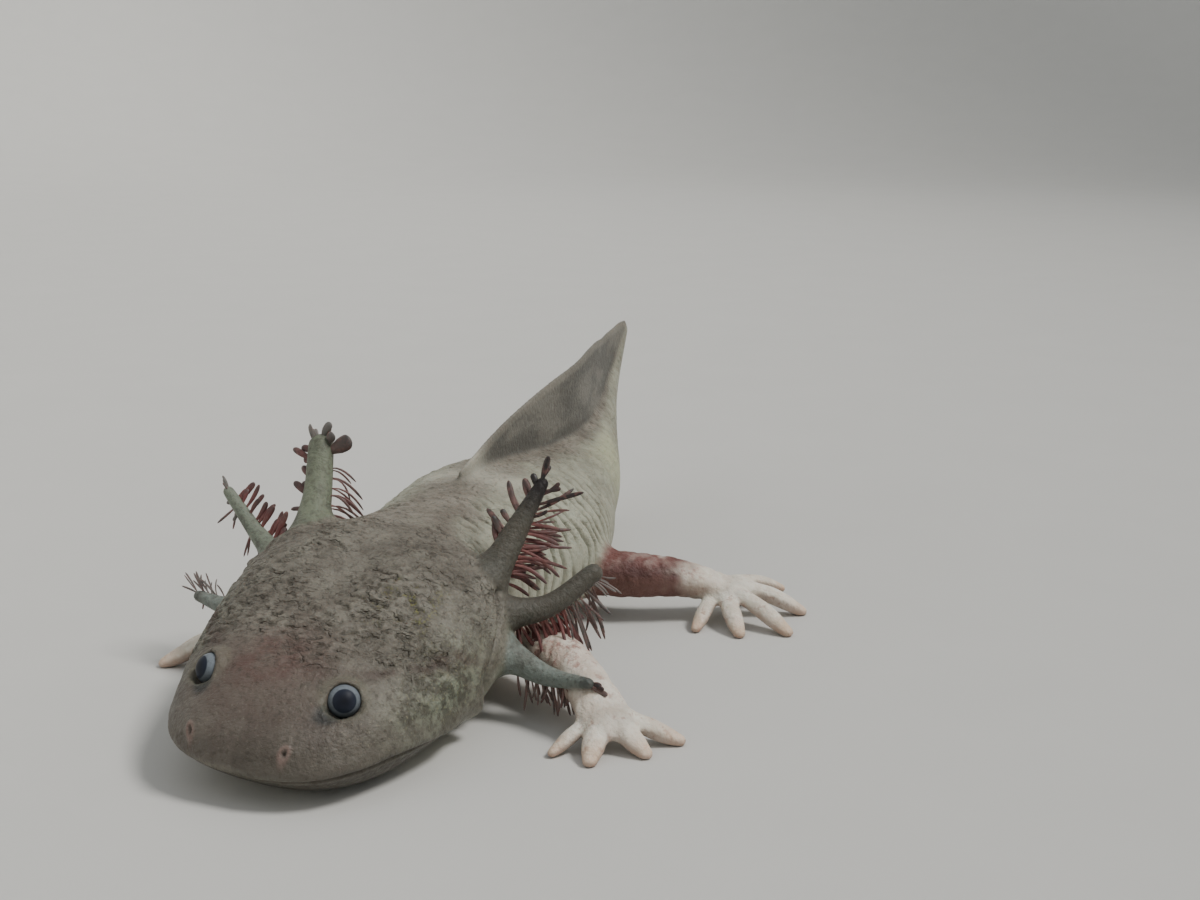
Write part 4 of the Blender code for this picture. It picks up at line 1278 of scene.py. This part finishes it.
# Rows of filaments on each gill: the stretch of the stalk they stand on, how many, which
# way they point (out, back, up), their length and half width, how far they droop, how red
# and how pale they are, and how sooty (or, below 0, how rosy) to their ends.
FRINGES = {
    ("upper", "left"): (
        (0.24, 0.86, 8, (-0.75, 0.3, 1), 5.4, 0.56, 0, 0.35, 0.12, 0),
        (0.90, 1.00, 4, (0.15, 0.2, 1), 4.4, 0.52, 0, 0, 0, 0.95),
        (0.62, 0.94, 5, (1, 0.5, 0.35), 7, 0.38, 0, 0.1, 0, 0.5),
        (0.52, 0.66, 4, (1, 0.7, 0.05), 9.6, 0.22, 0.1, 0.6, 0.1, 0),
        (0.08, 0.62, 22, (1, 0.75, 0), 7.4, 0.36, 0.15, 0.9, 0.1, 0),
        (0.02, 0.45, 18, (0.9, 1, -0.35), 7.6, 0.36, 0.2, 0.85, 0.1, 0),
    ),
    ("middle", "left"): (
        (0.12, 0.62, 24, (0.28, 0.15, -1), 8.4, 0.32, 0.1, 0.9, 0.05, 0),
        (0.12, 0.58, 16, (0.35, 0.7, -0.8), 7.6, 0.32, 0.2, 0.8, 0.05, 0),
        (0.62, 0.94, 14, (0.65, 0.1, -0.9), 8.4, 0.28, 0.2, 0.05, 0.25, 0),
        (0.88, 1.00, 7, (1, 0.1, -0.25), 4, 0.20, 0.3, 0.05, 0.8, 0),
    ),
    ("lower", "left"): (
        (0.20, 0.92, 40, (0.1, 0.3, -1), 5.8, 0.24, 0, 0.4, 0.45, -0.6),
        (0.66, 0.98, 8, (0.85, 0, -0.8), 5.4, 0.55, 0.1, 0.45, 0.3, -0.5),
        (0.97, 1.00, 3, (1, 0, 0.25), 2.4, 0.34, 0.35, 0, 0, 0.95),
    ),
    ("upper", "right"): (
        (0.97, 1.00, 2, (-0.5, 0.2, 1), 4.2, 0.70, 0, 0, 0.9, 0),
        (0.96, 1.00, 1, (-0.9, 0.2, 0.8), 3.4, 1.30, 0, 0, 0.6, 0),
        (0.92, 0.98, 1, (-1.7, 0.3, 0.9), 6.4, 1.40, 0, 0.15, 0.2, 0),
        (0.94, 1.00, 4, (0.6, 0.1, 1), 3.4, 0.36, 0, 0, 0.9, 0),
        (0.45, 0.90, 9, (1, 0.4, 0.35), 5.4, 0.66, 0, 0.65, 0.1, 0),
        (0.20, 0.50, 7, (0.9, 0.7, 0), 4.6, 0.5, 0, 0.8, 0.1, 0),
        (0.20, 0.75, 16, (-1, 0.8, 0.25), 7.6, 0.24, 0.9, 0.6, 0.25, 0),
    ),
    ("middle", "right"): (
        (0.20, 0.90, 15, (-0.5, 0.5, 0.9), 5, 0.55, 0, 0.9, 0.1, 0),
        (0.15, 0.95, 14, (0.5, 0.8, -0.6), 8, 0.28, 0.3, 0.4, 0.2, 0),
        (0.95, 1.00, 3, (0.4, 0.1, 1), 2.6, 0.30, 0, 0, 0.9, 0),
        (0.80, 0.95, 2, (0.6, -0.2, -0.6), 2, 0.34, 0, 0.1, 0.8, 0),
    ),
    ("lower", "right"): (
        (0.30, 0.98, 18, (0.3, 0.6, -0.7), 4.6, 0.22, 0.1, 0.35, 0.35, 0),
        (0.62, 1.00, 14, (0.9, 0.4, 0.7), 6.6, 0.18, 0, 0.05, 0.7, 0),
    ),
}
LOWEST_FILAMENT = 0.3
FILAMENT_SIDES = 8
WILDNESS = 0.16  # how much filaments differ in their direction and bend
FILAMENT_STOPS = np.array((0, 0.12, 0.3, 0.48, 0.64, 0.78, 0.87, 0.93, 0.97, 0.995))
FLATNESS = 0.42  # thickness of a filament as a share of its width
FACING = unit(np.array((0.35, -1, 0.45)))  # the way the filaments' flat sides face


def filament(root, way, length, droop, side, half):
    """The rings of one leaf-like filament: narrow at its root and round at its tip."""
    share = FILAMENT_STOPS[:, None]
    centre = root + length * (way * share - UPWARD * droop * share ** 2 + side * share ** 2)
    forward = unit(np.gradient(centre, axis=0))
    across = unit(np.cross(forward, FACING))
    thin = np.cross(across, forward)
    swell = 0.5 + 0.5 * smooth(0, 0.6, share)
    radius = (half * swell * np.sqrt(1 - smooth_tail(share) ** 2))[:, :, None]
    turn = np.linspace(0, 2 * math.pi, FILAMENT_SIDES, endpoint=False)[None, :, None]
    return centre[:, None] + radius * (
        across[:, None] * np.cos(turn) + FLATNESS * thin[:, None] * np.sin(turn)
    )


def smooth_tail(share):
    """0 along most of a filament, rising to 1 over its rounded end."""
    return np.clip((share - 0.78) / 0.22, 0, 1)


def fringe_row(chance, track, label, row):
    """The filaments of one row, each as its rings, and its redness."""
    start, end, count, way, length, half, droop, red, _, _ = row
    for i in range(count):
        place = start + (end - start) * (i + chance.uniform(-0.35, 0.35)) / max(count - 1, 1)
        spot = track.at(track.keys[-1] * min(max(place, 0.02), 1))[0]
        aim = unit(unit(aimed(label, way)) + WILDNESS * chance.normal(size=3))
        swell = 0.72 + 0.28 * math.sin(math.pi * (i + 0.5) / count)
        size = length * swell * chance.uniform(0.7, 1.15)
        curl = WILDNESS * chance.normal(size=3)
        root = spot[:3] + aim * spot[3] * 0.75
        rings = filament(root, aim, size, droop, curl, half * chance.uniform(0.75, 1.2))
        yield rings, np.clip(red + 0.15 * chance.normal(), 0, 1)


def build_fringes():
    finish = fringe_material()
    steps = np.concatenate((np.repeat(FILAMENT_STOPS, FILAMENT_SIDES), (0, 1)))
    for index, ((name, label), rows) in enumerate(FRINGES.items()):
        chance = np.random.default_rng(100 + index)
        track = gill_track(name, label)
        parts, looks, offset = [], [], 0
        for row in rows:
            for rings, red in fringe_row(chance, track, label, row):
                points, quads, triangles = closed_tube(rings)
                parts.append((points, quads + offset, triangles + offset))
                offset += len(points)
                looks.append(np.broadcast_arrays(np.clip(steps + row[9], 0, 1), red, row[8]))
        points, quads, triangles = (np.vstack(column) for column in zip(*parts))
        points[:, 2] = np.maximum(points[:, 2], LOWEST_FILAMENT)
        values = dict(zip(("share", "red", "pale"), np.concatenate(looks, axis=1)))
        gill = name + "_" + label
        surface = (points, quads, triangles)
        build_piece("fringe_" + gill, surface, values, finish, ["gill_" + gill])


# ---- stage

# The floor, in metres.
FLOOR_RADIUS = 1.3
FLOOR_DROP = 0.0001
WALL_CURVE = 0.9
WALL_TOP = 2.6


def build_floor():
    """A floor that curves up into a wall far behind, all round."""
    curve = np.linspace(0.1, math.pi / 2, 16)
    out = FLOOR_RADIUS + WALL_CURVE * np.concatenate(((0,), np.sin(curve), (1,)))[:, None]
    height = np.concatenate(((0,), WALL_CURVE * (1 - np.cos(curve)), (WALL_TOP,)))[:, None]
    turn = np.linspace(0, 2 * math.pi, 96, endpoint=False)
    columns = np.broadcast_arrays(out * np.cos(turn), out * np.sin(turn), height - FLOOR_DROP)
    points, quads, triangles = closed_tube(np.stack(columns, axis=-1))
    mesh = bpy.data.meshes.new("floor")
    middle = triangles[:len(turn)].tolist()
    mesh.from_pydata(points[:-1].tolist(), [], quads.tolist() + middle)
    mesh.shade_smooth()
    mesh.materials.append(floor_material())
    place_object("floor", mesh)


LAMPS = (
    # name, where it shines from, strength, spread in degrees, colour
    ("key", (0.55, 0.05, 0.80), 2.5, 16, (1, 0.97, 0.93)),
    ("fill", (-0.80, -0.50, 0.45), 0.5, 60, (0.92, 0.96, 1)),
    ("rim", (-0.60, 0.65, 0.50), 1.1, 30, (0.95, 0.98, 1)),
)


def build_light():
    world = bpy.data.worlds.new("studio")
    world.use_nodes = True
    sky = world.node_tree.nodes["Background"]
    sky.inputs["Color"].default_value = (0.90, 0.92, 0.95, 1)
    sky.inputs["Strength"].default_value = 0.5
    bpy.context.scene.world = world
    for name, place, strength, spread, colour in LAMPS:
        lamp = bpy.data.lights.new(name, "SUN")
        lamp.energy = strength
        lamp.angle = math.radians(spread)
        lamp.color = colour
        light = place_object(name, lamp)
        light.location = place
        light.rotation_mode = "QUATERNION"
        light.rotation_quaternion = (-Vector(place)).to_track_quat("-Z", "Y")


def build_camera():
    lens = bpy.data.cameras.new("camera")
    lens.lens = CAMERA_LENS
    lens.sensor_width = 36
    camera = place_object("camera", lens)
    camera.location = np.array(CAMERA_PLACE) * MM + SHIFT
    camera.rotation_euler = (CAMERA_TILT, 0, CAMERA_TURN)
    bpy.context.scene.camera = camera


build_skin()
build_eyes()
build_fringes()
build_floor()
build_light()
build_camera()
